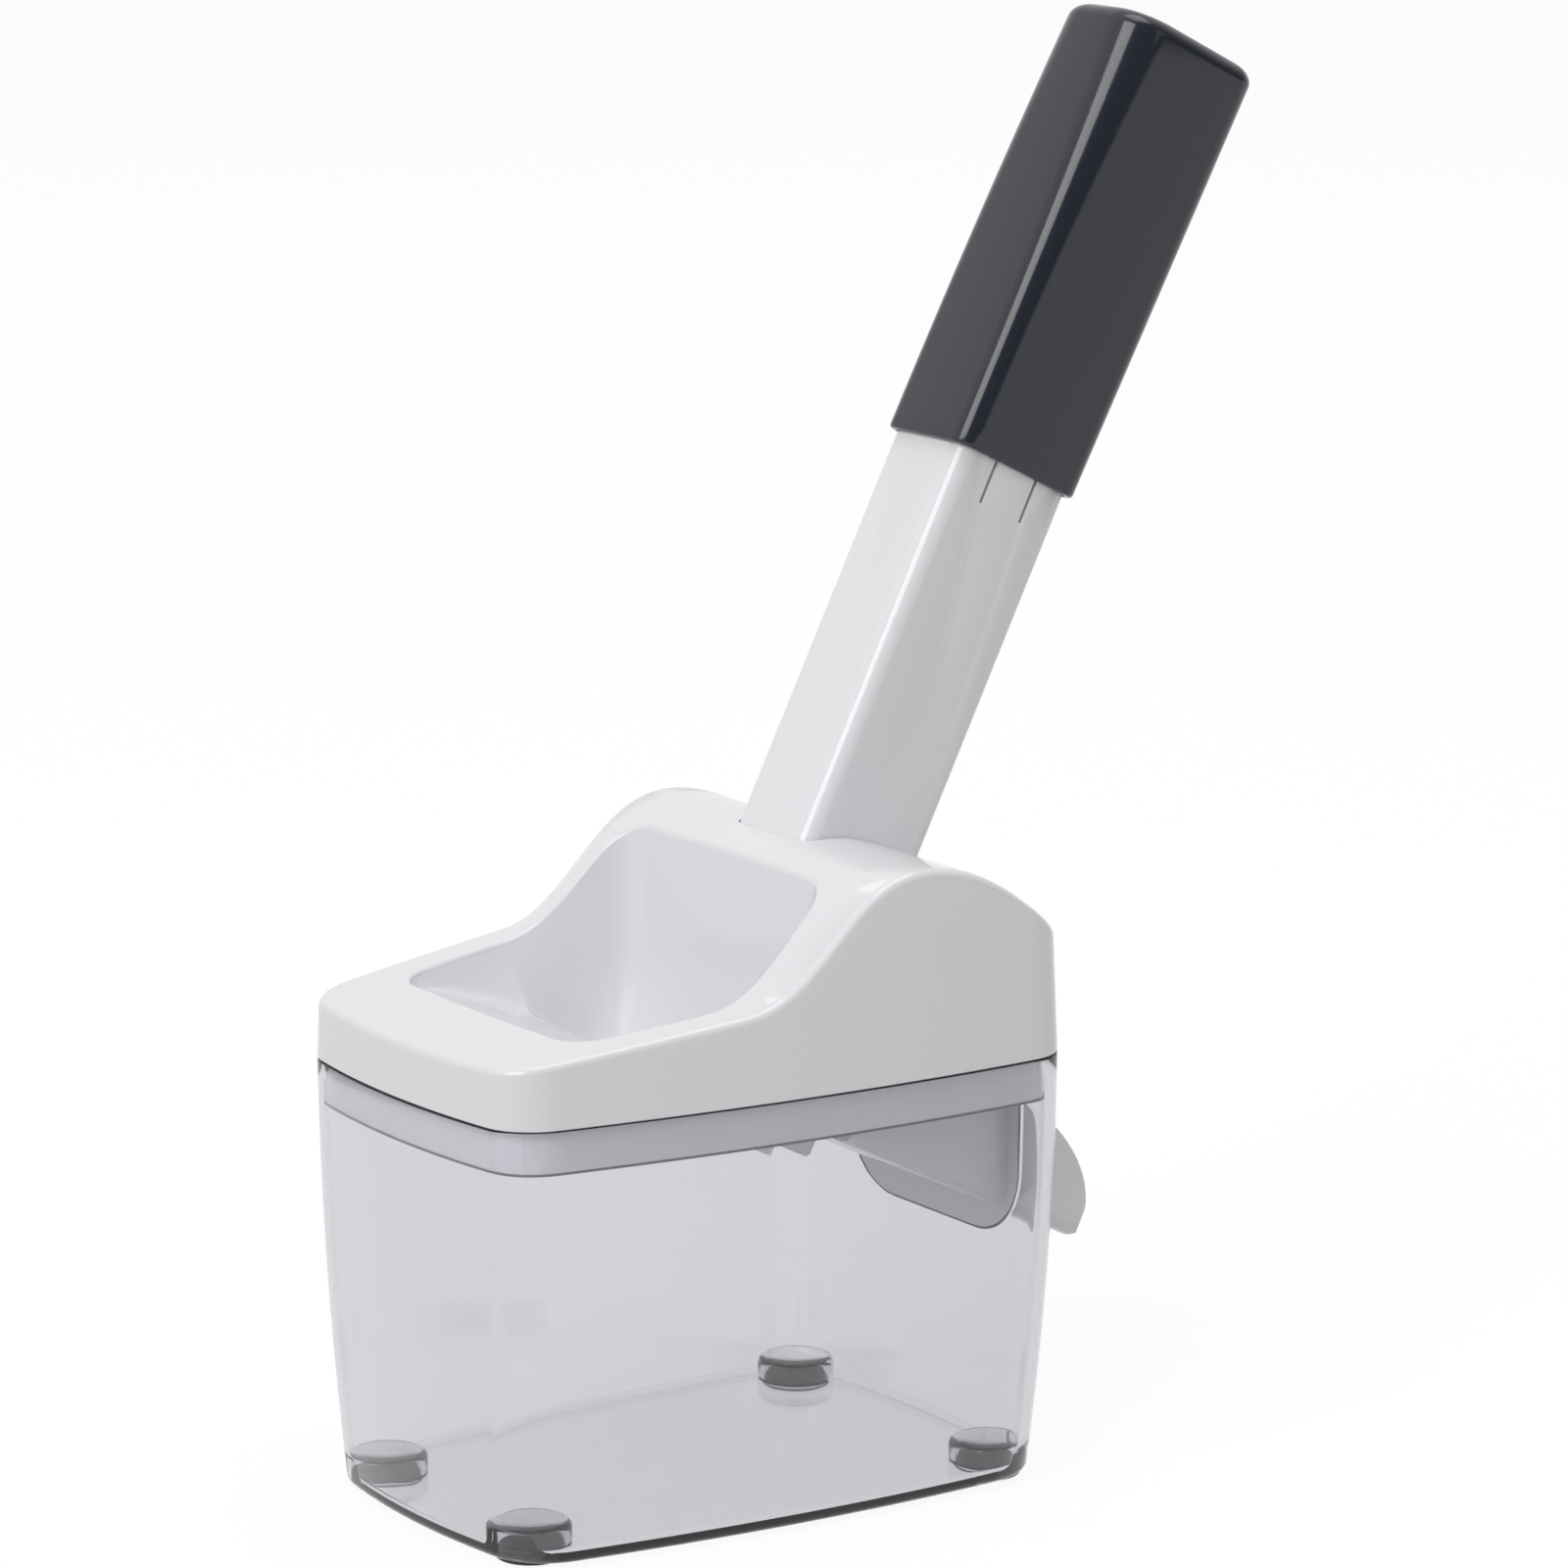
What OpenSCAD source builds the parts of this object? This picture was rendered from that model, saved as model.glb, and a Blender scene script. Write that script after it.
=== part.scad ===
// Stone-fruit pitter: a clear stone box, a lift-off top with a hopper and a chute, and a
// spring-loaded push grip that slides on an inclined guide tube and drives a pitting head.
// Millimetres. The hopper is at -X, the chute at +X, the table is Z = 0.

/* [Stone box] */
// Length over the rim
rim_l = 131.4; // [126:0.2:138]
// Width over the rim, half-way along
rim_w = 93.6; // [90:0.2:100]
// How much wider the rim is at the back than at the front
rim_flare = 19.6; // [12:0.2:21]
// Height of the rim above the table
rim_z = 87.5; // [80:0.5:100]
// How far each long side bows out
side_bow = 4.3; // [2:0.1:5]
// How far each short end bows out
end_bow = 4.4; // [2:0.1:5]
// Corner radius at the rim
corner_r = 11.6; // [10:0.2:14]
// How far each side draws in from the rim to the base
draw_in = 3.6; // [2:0.1:4.5]
// Wall thickness
box_wall = 2; // [1.6:0.1:2.4]
// Floor thickness
box_floor = 2.6; // [2:0.1:4]
// Width of the notch in the back wall, where the chute leaves
notch_w = 58; // [54:1:62]
// Depth of the notch below the rim
notch_depth = 43; // [41:0.5:48]
// Radius of the notch's lower corners
notch_r = 15; // [8:0.5:18]

/* [Feet] */
// Diameter of a foot's pad
foot_d = 14; // [11:0.5:14]
// How far a foot stands out below the box
foot_proud = 0.8; // [0.5:0.1:2]
// Height of the cup that holds a foot
cup_h = 8; // [6:0.5:11]
// Wall of the cup
cup_wall = 1.4; // [1:0.1:2]
// Distance of a foot's middle from the end of the rim
foot_in_x = 14.4; // [13.7:0.1:19]
// Distance of a foot's middle from the side of the rim
foot_in_y = 17; // [15.8:0.1:20]

/* [Cover and hopper] */
// Wall thickness of the cover
cover_wall = 2.2; // [1.8:0.1:2.4]
// Height of the front lip above the rim
lip_h = 13; // [11:0.5:15]
// Height of the hump above the rim
crest_h = 41.4; // [41.2:0.2:46]
// Radius of the rounded top edge
edge_r = 2.4; // [1.5:0.1:3]
// Lean of the cover's walls, millimetres inwards for each millimetre up
wall_lean = 0.04; // [0.01:0.01:0.06]
// Length of the hopper opening
hopper_l = 57.6; // [53:0.2:59]
// Width of the hopper opening
hopper_w = 74; // [66:0.5:75]
// Corner radius of the hopper opening
hopper_r = 8; // [7.5:0.5:12]
// Width of the rim in front of the hopper
front_band = 20.7; // [18:0.1:24]

/* [Skirt and chute] */
// How deep the frame's skirt reaches into the box
skirt_h = 8.3; // [6:0.1:10]
// Thickness of the frame's skirt and deck
frame_t = 2; // [1.6:0.1:2.6]
// Thickness of the chute
chute_t = 2; // [1.6:0.1:2.4]
// Width of the chute
chute_w = 50; // [44:0.5:51]
// How far the chute reaches behind the box
chute_reach = 15.5; // [12:0.5:22]

/* [Guide tube] */
// Tilt of the plunger's axis from the vertical, degrees
tilt = 26.9; // [26:0.1:28]
// Distance of the axis behind the hopper, at the rim's height
axis_back = 4.4; // [4:0.1:5]
// Depth of the tube, front to back
tube_d = 29.2; // [27:0.2:30]
// Width of the tube, side to side
tube_w = 24.8; // [23:0.2:26]
// Edge radius of the tube
tube_r = 3.6; // [2.6:0.2:5]
// Wall thickness of the tube
tube_wall = 2.2; // [1.8:0.1:2.4]

/* [Grip and plunger] */
// Height of the grip's lower rim along the axis, above the box's rim
grip_z = 123.6; // [120:0.2:130]
// Length of the grip
grip_l = 94.8; // [90:0.2:100]
// How much larger the grip is at its lower rim than the tube
grip_over = 3.1; // [3:0.1:4.5]
// How far the grip's front draws in towards its top
grip_tuck = 0.8; // [0:0.1:0.9]
// How far the grip's back swells out towards its top
grip_flare = 3.3; // [0:0.1:4]
// Edge radius of the grip's closed top
grip_top_r = 5; // [3:0.5:6]
// Travel of the plunger
stroke = 54; // [46:1:55]
// Diameter of the plunger rod
rod_d = 6; // [5:0.5:6.5]
// Diameter of the pitting head
head_d = 9; // [8.5:0.5:10]
// Length of the pitting head
head_l = 28; // [24:1:32]
// Wire diameter of the return spring
wire_d = 1.4; // [1:0.1:1.6]
// Number of the spring's curls
spring_curls = 18; // [12:1:20]
// Mean diameter of the spring
spring_d = 14.6; // [14.4:0.1:15.6]

/* [Hidden] */
$fn = 48;

// Clearances
seam_gap = 0.3;
slip = 0.3;
fit = 0.1;
running = 0.05;
// Overlap of pieces that are one, and reach of a cut beyond its piece
sink = 0.5;
past = 1;
// Steps of an outline's quarter: half an end, a corner, half a side
STEPS = [3, 4, 8];

// Box and feet
taper = rim_flare / (rim_l * rim_w);
foot_x = rim_l / 2 - foot_in_x;
foot_y = rim_w / 2 - foot_in_y;
foot_spread = foot_x * taper * rim_w / 2;
foot_shoulder = 1;
foot_stem_d = foot_d - 2 * foot_shoulder;
foot_pad_t = 1.6;
foot_plug_h = 3.6;
base_z = foot_proud;
base_round = 2;
base_corner_r = corner_r + base_round;
round_mid = 0.3 * base_round;
// Frame and cover, heights above the rim
deck_z = 1;
skirt_inset = max(box_wall + slip, cover_wall + fit + wall_lean * (deck_z + frame_t));
deck_gap = cover_wall + 1;
hopper_front_x = front_band - rim_l / 2;
hopper_back_x = hopper_front_x + hopper_l;
hopper_mid_x = (hopper_front_x + hopper_back_x) / 2;
hopper_bow = 3;
hopper_end_bow = 0.8;
hopper_draft = 5;
hopper_round = 1.6;
hopper_least = 2;
lip_slope = 0.11;
lip_in = 11;
lip_x = lip_in - rim_l / 2;
crest_behind = 13.9;
crest_x = hopper_back_x + crest_behind;
crest_r = 32;
fall_l = 24;
swell_l = 44;
swell_short = 1.5;
swell_x1 = crest_x - swell_short;
swell_x0 = swell_x1 - swell_l;
swell_shift = 4;
// Pieces on the inclined axis, heights along it above the rim
axis_x = hopper_back_x + axis_back;
seat_level = -15.5;
seat_t = 1.8;
seat_front = -12.6;
seat_back = 12;
seat_hole_d = 20;
seat_flange_d = 22.8;
seat_flange_t = 1.4;
head_room = 1;
seat_lip_hole_d = head_d + 2 * head_room;
seat_lip_t = 1.6;
slot_w = 0.6;
clamp_d = 25.2;
clamp_t = 1.6;
clamp_over = 2;
clamp_hole_d = seat_hole_d - 2 * clamp_over;
mouth_top = -0.4;
mouth_w = 28;
mouth_r = 10;
mouth_l = 60;
cheek_y = mouth_w / 2 - 2 * fit;
cheek_t = 2.2;
cheek_mid_y = cheek_y + cheek_t / 2;
cheek_foot = seat_level - seat_t - sink;
pocket_l = 31;
chute_level = -10.5;
strip_z = 27.5;
strip_t = 2.5;
strip_w = 46;
strip_over = 1.4;
strip_d = tube_d + 2 * strip_over;
strip_r = 4;
strip_hole_d = head_d + 3 * head_room;
flange_t = 2.4;
tube_z0 = strip_z + strip_t;
screw_along = 9;
screw_off = 1.6;
screw_y = cheek_y + cheek_t + screw_off;
screw_d = 2.9;
screw_l = 8;
screw_head_over = 1.25;
screw_head_d = screw_d + 2 * screw_head_over;
screw_head_t = 1.8;
boss_d = 6.6;
// The hopper's floor falls from the front wall to the seat's front edge
front_step = 1.5;
floor_start = 4;
floor_step = 0.5;
seat_edge_x = axis_x + seat_front * cos(tilt) + seat_level * sin(tilt);
seat_edge_z = seat_level * cos(tilt) - seat_front * sin(tilt);
floor_low = seat_edge_z + floor_step;
floor_fall = (lip_h - front_step - floor_low) / (seat_edge_x - hopper_front_x - floor_start);
// Grip, heights along the axis
grip_top = grip_z + grip_l;
grip_r = 4.2;
grip_front_r = 9;
grip_back_r = 5;
grip_crown = 0.8;
ceiling_t = 3;
ceiling_z = grip_top - ceiling_t;
tube_overlap = 16;
tube_z1 = grip_z + tube_overlap;
tube_top_r = 6;
stop_gap = 1;
step_z = tube_z1 + stroke + stop_gap;
lip_t = 1.2;
side_gap = 0.8;
bore_d = tube_d + 2 * slip;
bore_w = tube_w + 2 * side_gap;
grip_boss_d = 11;
grip_boss_l = 14;
rod_grip_l = 12;
// Snap tongue
tongue_w = 10.8;
slit_w = 0.8;
tongue_root = grip_z - 8.9;
tongue_gap = 0.3;
barb_z = grip_z + lip_t + tongue_gap;
barb_h = 3;
barb_out = 0.6;
tongue_tip = barb_z + barb_h + tongue_gap;
// Rod, head, bush and spring
tip_in = 0.5;
tip_z = strip_z + tip_in;
tip_h = 2.5;
tip_flat = 2;
head_top = tip_z + head_l;
head_socket_l = 10;
shank_l = 12;
blade_t = 1.3;
pin_d = 2;
pin_short = 0.6;
bush_z = 98;
bush_t = 10;
spigot_h = 3;
step_wall = 1.2;
SPRING_RINGS = 8;
SPRING_SIDES = 6;
// The wire's flats cut inside its circle, so the spigot is smaller
spigot_d = (spring_d - wire_d) * cos(180 / SPRING_RINGS) - 2 * slip;
least_r = 0.5;
end_seat_t = 1.6;
end_seat_d = 19;
spring_z0 = bush_z + bush_t + fit;
spring_z1 = ceiling_z - end_seat_t - 2 * fit;
// The whole part is centred in X over its box
grip_back_n = (tube_d + grip_over) / 2 + grip_flare;
x_max = axis_x + (grip_top - grip_top_r) * sin(tilt) + (grip_back_n - grip_top_r) * cos(tilt) + grip_top_r;
x_mid = (x_max - rim_l / 2) / 2;

// Shared functions

function mix(a, b, t) = a + (b - a) * t;
function clamp01(t) = min(1, max(0, t));
function swell(t) = t * t * t * (t * (t * 6 - 15) + 10);
function middle(ring) = [for (k = [0:2]) min([for (p = ring) p[k]]) / 2 + max([for (p = ring) p[k]]) / 2];
function bow_radius(chord, bow) = (chord * chord / 4 + bow * bow) / (2 * bow);

// Centre of the corner arc that touches a long-side arc about a and an end arc about b
function corner_centre(a, ra, b, rb) =
    let (d = norm(b - a),
         e = (b - a) / d,
         along = (ra * ra - rb * rb + d * d) / (2 * d),
         off = sqrt(ra * ra - along * along))
    a + along * e + off * [e[1], -e[0]];

function arc(c, r, a0, a1, n) = [for (k = [0:n - 1]) let (a = mix(a0, a1, k / n)) c + r * [cos(a), sin(a)]];

// One quarter of a rectangle with bowed sides and round corners, drawn in by inset
function quarter(l, w, bow_l, bow_w, r, inset) =
    let (rs = bow_radius(l, bow_l),
         re = bow_radius(w, bow_w),
         side = [0, w / 2 - rs],
         end = [l / 2 - re, 0],
         c = corner_centre(side, rs - r, end, re - r),
         a_end = atan2(c[1] - end[1], c[0] - end[0]),
         a_side = atan2(c[1] - side[1], c[0] - side[0]))
    [each arc(end, re - inset, 0, a_end, STEPS[0]),
     each arc(c, r - inset, a_end, a_side, STEPS[1]),
     each arc(side, rs - inset, a_side, 90, STEPS[2]),
     [0, w / 2 - inset]];

function around(q) =
    let (m = len(q) - 1)
    [each [for (k = [0:m - 1]) q[k]],
     each [for (k = [m:-1:1]) [-q[k][0], q[k][1]]],
     each [for (k = [0:m - 1]) [-q[k][0], -q[k][1]]],
     each [for (k = [m:-1:1]) [q[k][0], -q[k][1]]]];

// The plan widens towards the back
function flared(ring) = [for (p = ring) [p[0], p[1] * (1 + taper * p[0])]];
function bowed(l, w, bow_l, bow_w, r, inset) = around(quarter(l, w, bow_l, bow_w, r, inset));
function rim_outline(inset) = flared(bowed(rim_l, rim_w, side_bow, end_bow, corner_r, inset));

// A rectangle from x0 to x1 with its own corner radius at each end, and one that is centred
function corner(c, r, turn, n = 6) = arc(c, r, turn, turn + 90 + 90 / n, n + 1);
function two_radius_rect(x0, x1, w, r0, r1) = [
    each corner([x1 - r1, w / 2 - r1], r1, 0),
    each corner([x0 + r0, w / 2 - r0], r0, 90),
    each corner([x0 + r0, r0 - w / 2], r0, 180),
    each corner([x1 - r1, r1 - w / 2], r1, 270)];
function round_rect(l, w, r) = two_radius_rect(-l / 2, l / 2, w, r, r);

// The hopper's opening, drawn in by inset
function hopper_outline(inset) =
    let (ring = bowed(hopper_l, hopper_w, hopper_bow, hopper_end_bow, hopper_r, inset))
    flared([for (p = ring) [p[0] + hopper_mid_x, p[1]]]);

// Height of the cover's top above the rim. t runs from the hopper's edge, 0, to the outer edge, 1
function front_top(x) = lip_h + lip_slope * (x - lip_x);
function rear_top(x) =
    let (d = max(0, x - crest_x), c = min(d, fall_l))
    crest_h - c * c / (2 * crest_r) - (d - c) * fall_l / crest_r;
function top_z(x, t) =
    let (f = clamp01((x - swell_x0 - swell_shift * t * t) / (swell_x1 - swell_x0)))
    mix(front_top(x), rear_top(x), swell(f));
function hopper_floor_z(x) =
    max(floor_low, lip_h - front_step - (x - hopper_front_x - floor_start) * floor_fall);

// Shared modules

// A closed skin over a stack of rings with the same number of points, capped at both ends
module skin(rings) {
    n = len(rings[0]);
    last = len(rings) - 1;
    points = [each [for (r = rings) each r], middle(rings[0]), middle(rings[last])];
    faces = [
        each [for (k = [0:last - 1], i = [0:n - 1]) each
            let (a = k * n + i, b = k * n + (i + 1) % n, c = b + n, d = a + n) [[a, c, b], [a, d, c]]],
        each [for (i = [0:n - 1]) [n * (last + 1), i, (i + 1) % n]],
        each [for (i = [0:n - 1]) [n * (last + 1) + 1, last * n + (i + 1) % n, last * n + i]]];
    polyhedron(points, faces);
}

module place() translate([-x_mid, 0, 0]) children();
module on_rim() place() translate([0, 0, rim_z]) children();
module on_axis() on_rim() translate([axis_x, 0, 0]) rotate([0, tilt, 0]) children();

module plate(l, w, r, z0, z1) translate([0, 0, z0]) linear_extrude(z1 - z0) polygon(round_rect(l, w, r));
module disc(d, z0, z1) translate([0, 0, z0]) cylinder(d = d, h = z1 - z0);
// A flat piece drawn in the X-Z plane and extruded across Y
module across(y0, y1) translate([0, y1, 0]) rotate([90, 0, 0]) linear_extrude(y1 - y0) children();

// Stone box

function box_inset(z) = draw_in * pow((rim_z - z) / rim_z, 2);
function box_ring(z, extra) =
    let (d = 2 * box_inset(z), r = mix(base_corner_r, corner_r, z / rim_z))
    [for (p = flared(bowed(rim_l - d, rim_w - d, side_bow, end_bow, r, extra))) [p[0], p[1], z]];
BOX_LEVELS = [0.25, 0.5, 0.75, 1];

module foot_place(sx, sy) translate([sx * foot_x, sy * (foot_y + sx * foot_spread), 0]) children();
module foot_places() for (sx = [-1, 1], sy = [-1, 1]) foot_place(sx, sy) children();

module container() color("gainsboro", 0.4) place() difference() {
    union() {
        skin([
            box_ring(base_z, base_round),
            box_ring(base_z + round_mid, round_mid),
            box_ring(base_z + base_round, 0),
            each [for (f = BOX_LEVELS) box_ring(f * rim_z, 0)],
            each [for (k = [3:-1:0]) box_ring(BOX_LEVELS[k] * rim_z, box_wall)],
            box_ring(base_z + box_floor + base_round, box_wall),
            box_ring(base_z + box_floor, box_wall + base_round)]);
        foot_places() disc(foot_d + 2 * cup_wall, base_z + box_floor / 2, base_z + cup_h);
    }
    foot_places() disc(foot_d + 2 * fit, 0, base_z + foot_pad_t);
    foot_places() disc(foot_stem_d, base_z, base_z + cup_h - cup_wall);
    translate([rim_l / 4, 0, rim_z]) rotate([90, 0, 90]) linear_extrude(rim_l / 2)
        polygon(round_rect(notch_w, 2 * notch_depth, notch_r));
}

module foot(sx, sy) color("dimgray") place() foot_place(sx, sy) {
    disc(foot_d, 0, base_z + foot_pad_t);
    disc(foot_stem_d, base_z, base_z + foot_plug_h);
}

// Cover

function wall_top(p) = top_z(p[0], 1) - edge_r;
// A ring on the outer wall's upper edge: turn is the angle round the edge, sink lowers it
function edge_ring(turn, inset, sink) = let (base = rim_outline(0))
    [for (i = [0:len(base) - 1])
        let (h = wall_top(base[i]), p = rim_outline(inset + wall_lean * h + edge_r * (1 - cos(turn)))[i])
        [p[0], p[1], top_z(p[0], 1) - edge_r * (1 - sin(turn)) - sink]];
// A ring on the band between the outer edge, t = 1, and the hopper's edge, t = 0
function band_ring(t, out, inset, sink) = let (a = edge_ring(90, inset, 0), b = hopper_outline(-out))
    [for (i = [0:len(a) - 1]) let (x = mix(b[i][0], a[i][0], t), y = mix(b[i][1], a[i][1], t))
        [x, y, top_z(x, t) - sink]];
// A ring on the hopper's wall, drawn in by inset; the floor comes up to meet the low front edge
function wall_ring(inset, lift, least, sink) = [for (p = hopper_outline(inset))
    [p[0], p[1], min(hopper_floor_z(p[0]) + lift, top_z(p[0], 0) - least) - sink]];
// A ring on the hopper's floor, drawn together to a share of its size
function floor_ring(share, sink) = [for (p = hopper_outline(hopper_draft + hopper_round))
    let (x = mix(hopper_mid_x, p[0], share))
    [x, share * p[1], min(hopper_floor_z(x), top_z(x, 0) - hopper_least) - sink]];
function rim_edge_ring(turn) = [for (p = hopper_outline(-hopper_round * (1 - sin(turn))))
    [p[0], p[1], top_z(p[0], 0) - hopper_round * (1 - cos(turn))]];
function flat_ring(inset, z) = [for (p = rim_outline(inset)) [p[0], p[1], z]];
// The underside lies lower where the top is steep
under = 1.5 * cover_wall;
floor_under = cover_wall * sqrt(1 + floor_fall * floor_fall);

FLOOR_SHARES = [0.1, 0.45, 0.75];
UNDER_SHARES = [0, 0.1, 0.35, 0.7, 1];

module cover_shell() skin([
    each [for (f = FLOOR_SHARES) floor_ring(f, floor_under)],
    floor_ring(1, floor_under),
    wall_ring(hopper_draft - cover_wall, hopper_round, hopper_least - sink, cover_wall),
    each [for (t = UNDER_SHARES) band_ring(t, cover_wall, cover_wall, under)],
    edge_ring(0, cover_wall, edge_r),
    flat_ring(cover_wall, seam_gap),
    flat_ring(0, seam_gap),
    each [for (a = [0:30:90]) edge_ring(a, 0, 0)],
    each [for (k = [5:-1:0]) band_ring(k / 6, hopper_round, 0, 0)],
    rim_edge_ring(45),
    rim_edge_ring(90),
    wall_ring(hopper_draft, hopper_round, hopper_least - sink, 0),
    floor_ring(1, 0),
    each [for (k = [2:-1:0]) floor_ring(FLOOR_SHARES[k], 0)]]);

// The fruit's way under the hump, an arch that runs square to the axis
module mouth() on_axis() translate([seat_front - slip, 0, mouth_top - mouth_l / 2]) rotate([90, 0, 90])
    linear_extrude(mouth_l) polygon(round_rect(mouth_w, mouth_l, mouth_r));

module top_cover() color("white") difference() {
    on_rim() cover_shell();
    on_axis() plate(tube_d + 2 * slip, tube_w + 2 * slip, tube_r + slip, tube_z0, bush_z);
    mouth();
}

// Frame under the cover: skirt, deck, cheeks and the seat's plate

module frame_ring(inset, z0, z1) translate([0, 0, z0]) linear_extrude(z1 - z0) polygon(rim_outline(inset));
module screw_places() for (sn = [-1, 1], sy = [-1, 1])
    translate([sn * screw_along, sy * screw_y, 0]) children();
deck_back_x = hopper_back_x + deck_gap;

// A point given along and square to the axis, in X and Z above the rim
function tilted(n, z) = [axis_x + n * cos(tilt) + z * sin(tilt), z * cos(tilt) - n * sin(tilt)];
// Side view of a cheek: low under the hopper's floor, high behind the hopper's back wall
cheek_ledge_z = floor_low - cover_wall - 2 * slip;
cheek_ledge_n = (seat_level * cos(tilt) - cheek_ledge_z) / sin(tilt);
function cheek_side() = [tilted(cheek_ledge_n, cheek_foot), tilted(seat_back, cheek_foot),
    tilted(strip_d / 2 - past, strip_z), tilted(-screw_along - boss_d / 2, strip_z),
    [deck_back_x, deck_z + frame_t], [deck_back_x, cheek_ledge_z],
    [tilted(cheek_ledge_n, seat_level)[0] - sink, cheek_ledge_z]];

module inner_frame() color("whitesmoke") {
    on_rim() difference() {
        frame_ring(skirt_inset, -skirt_h, deck_z + frame_t);
        frame_ring(skirt_inset + frame_t, -skirt_h - past, deck_z);
        linear_extrude(deck_z + frame_t + past) polygon(hopper_outline(-deck_gap));
        translate([deck_back_x - past, -cheek_mid_y, 0])
            cube([axis_x + pocket_l - deck_back_x + past, 2 * cheek_mid_y, deck_z + frame_t + past]);
    }
    difference() {
        union() {
            on_axis() difference() {
                translate([seat_front, slip - cheek_y, seat_level - seat_t])
                    cube([seat_back - seat_front, 2 * (cheek_y - slip), seat_t]);
                disc(seat_hole_d, seat_level - seat_t - past, seat_level + past);
            }
            on_axis() translate([seat_back - sink, -cheek_mid_y, seat_level - seat_t + fit])
                cube([seat_t, 2 * cheek_mid_y, chute_level - seat_level + seat_t - fit]);
            for (sy = [-1, 1]) {
                y0 = sy > 0 ? cheek_y - sink : -cheek_y - cheek_t;
                on_rim() across(y0, y0 + cheek_t + sink) polygon(cheek_side());
            }
            on_axis() screw_places() disc(boss_d, strip_z - screw_l, strip_z);
        }
        on_axis() screw_places() disc(screw_d, strip_z - screw_l + past, strip_z + past);
    }
}

// Fruit seat and the ring that clamps it from below

seat_under = seat_level - seat_t;
seat_base = seat_under - seat_flange_t;
module seat_ring() color("slategray") on_axis() difference() {
    union() {
        disc(seat_hole_d - 2 * fit, seat_base, seat_level);
        disc(seat_flange_d, seat_base, seat_under);
    }
    disc(seat_lip_hole_d, seat_base - past, seat_level + past);
    translate([0, 0, seat_level - seat_lip_t])
        cylinder(d1 = seat_lip_hole_d, d2 = clamp_hole_d, h = seat_lip_t + fit);
    for (k = [0:7]) rotate(45 * k) translate([0, -slot_w / 2, seat_base - past])
        cube([clamp_hole_d / 2 - past, slot_w, seat_level - seat_base + 2 * past]);
}

module seat_clamp() color("white") on_axis() difference() {
    disc(clamp_d, seat_base - clamp_t, seat_under);
    disc(seat_flange_d + 2 * fit, seat_base, seat_under + past);
    disc(clamp_hole_d, seat_base - clamp_t - past, seat_under + past);
}

// Chute: a trough square to the axis, cut to its side view and to its plan

chute_start = seat_back + seat_t + fit;
chute_end_x = rim_l / 2 + chute_reach;
chute_end_n = (chute_end_x - axis_x - chute_level * sin(tilt)) / cos(tilt);
chute_r = 3.5;
chute_end_r = 3;
chute_deep = 44;
chute_l = 120;
chute_brim = -skirt_h - slip;
brim_start = 5.7;
// The round nose of the chute's walls, from its start to the end of the floor
nose_l = 21.6;
nose_start_h = 18.9;
nose_in = 1.1;
nose_h = 13.6;
nose_under = 3;
panel_gap = 0.6;
panel_t = 1.8;
panel_x = rim_l / 2 - box_wall - panel_t;
function bend(a, b, c, n) = [for (k = [0:n]) let (t = k / n) mix(mix(a, b, t), mix(b, c, t), t)];

module chute_section(in) translate([0, chute_deep / 2])
    polygon(round_rect(chute_w - 2 * in, chute_deep - 2 * in, chute_r - in));

module trough(in, from) on_axis() translate([from, 0, chute_level - chute_t]) rotate([90, 0, 90])
    linear_extrude(chute_l) {
        chute_section(in);
        translate([in - chute_w / 2, chute_deep / 2]) square([chute_w - 2 * in, chute_deep]);
    }

// The chute's side view, from the frame's deck to the lip
module chute_side() on_rim() across(-chute_w, chute_w) {
    exit_x = rim_l / 2 - brim_start;
    back_x = axis_x + pocket_l;
    polygon([[axis_x, deck_z - fit], [back_x - deck_gap, deck_z - fit], [back_x, chute_brim],
        [exit_x, chute_brim],
        each bend(tilted(chute_end_n - nose_l, chute_level + nose_start_h),
            tilted(chute_end_n - nose_in, chute_level + nose_h),
            tilted(chute_end_n, chute_level - chute_t / 4), 8),
        tilted(chute_end_n - nose_under, chute_level - 2 * chute_t),
        [chute_end_x - chute_t, -rim_z], [axis_x, -rim_z]]);
}

// The panel that closes the box's notch round the chute
module notch_panel() on_rim() intersection() {
    translate([panel_x, 0, 0]) rotate([90, 0, 90]) linear_extrude(panel_t)
        polygon(round_rect(notch_w - 2 * panel_gap, 2 * (notch_depth - panel_gap), notch_r - panel_gap));
    translate([panel_x - past, -notch_w, chute_brim - rim_z]) cube([panel_t + 2 * past, 2 * notch_w, rim_z]);
}

module chute() color("white") difference() {
    union() {
        intersection() {
            trough(0, chute_start);
            chute_side();
            on_axis() translate([chute_end_n + slip - chute_l / 2, 0, -rim_z])
                linear_extrude(2 * rim_z)
                polygon(round_rect(chute_l, chute_w + 2 * slip, chute_end_r));
        }
        notch_panel();
    }
    trough(chute_t, 0);
}

// Guide tube with its foot flange and two snap tongues

module tube_bore(wall, z0, z1)
    plate(tube_d - 2 * wall, tube_w - 2 * wall, max(least_r, tube_r - wall), z0, z1);

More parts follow.
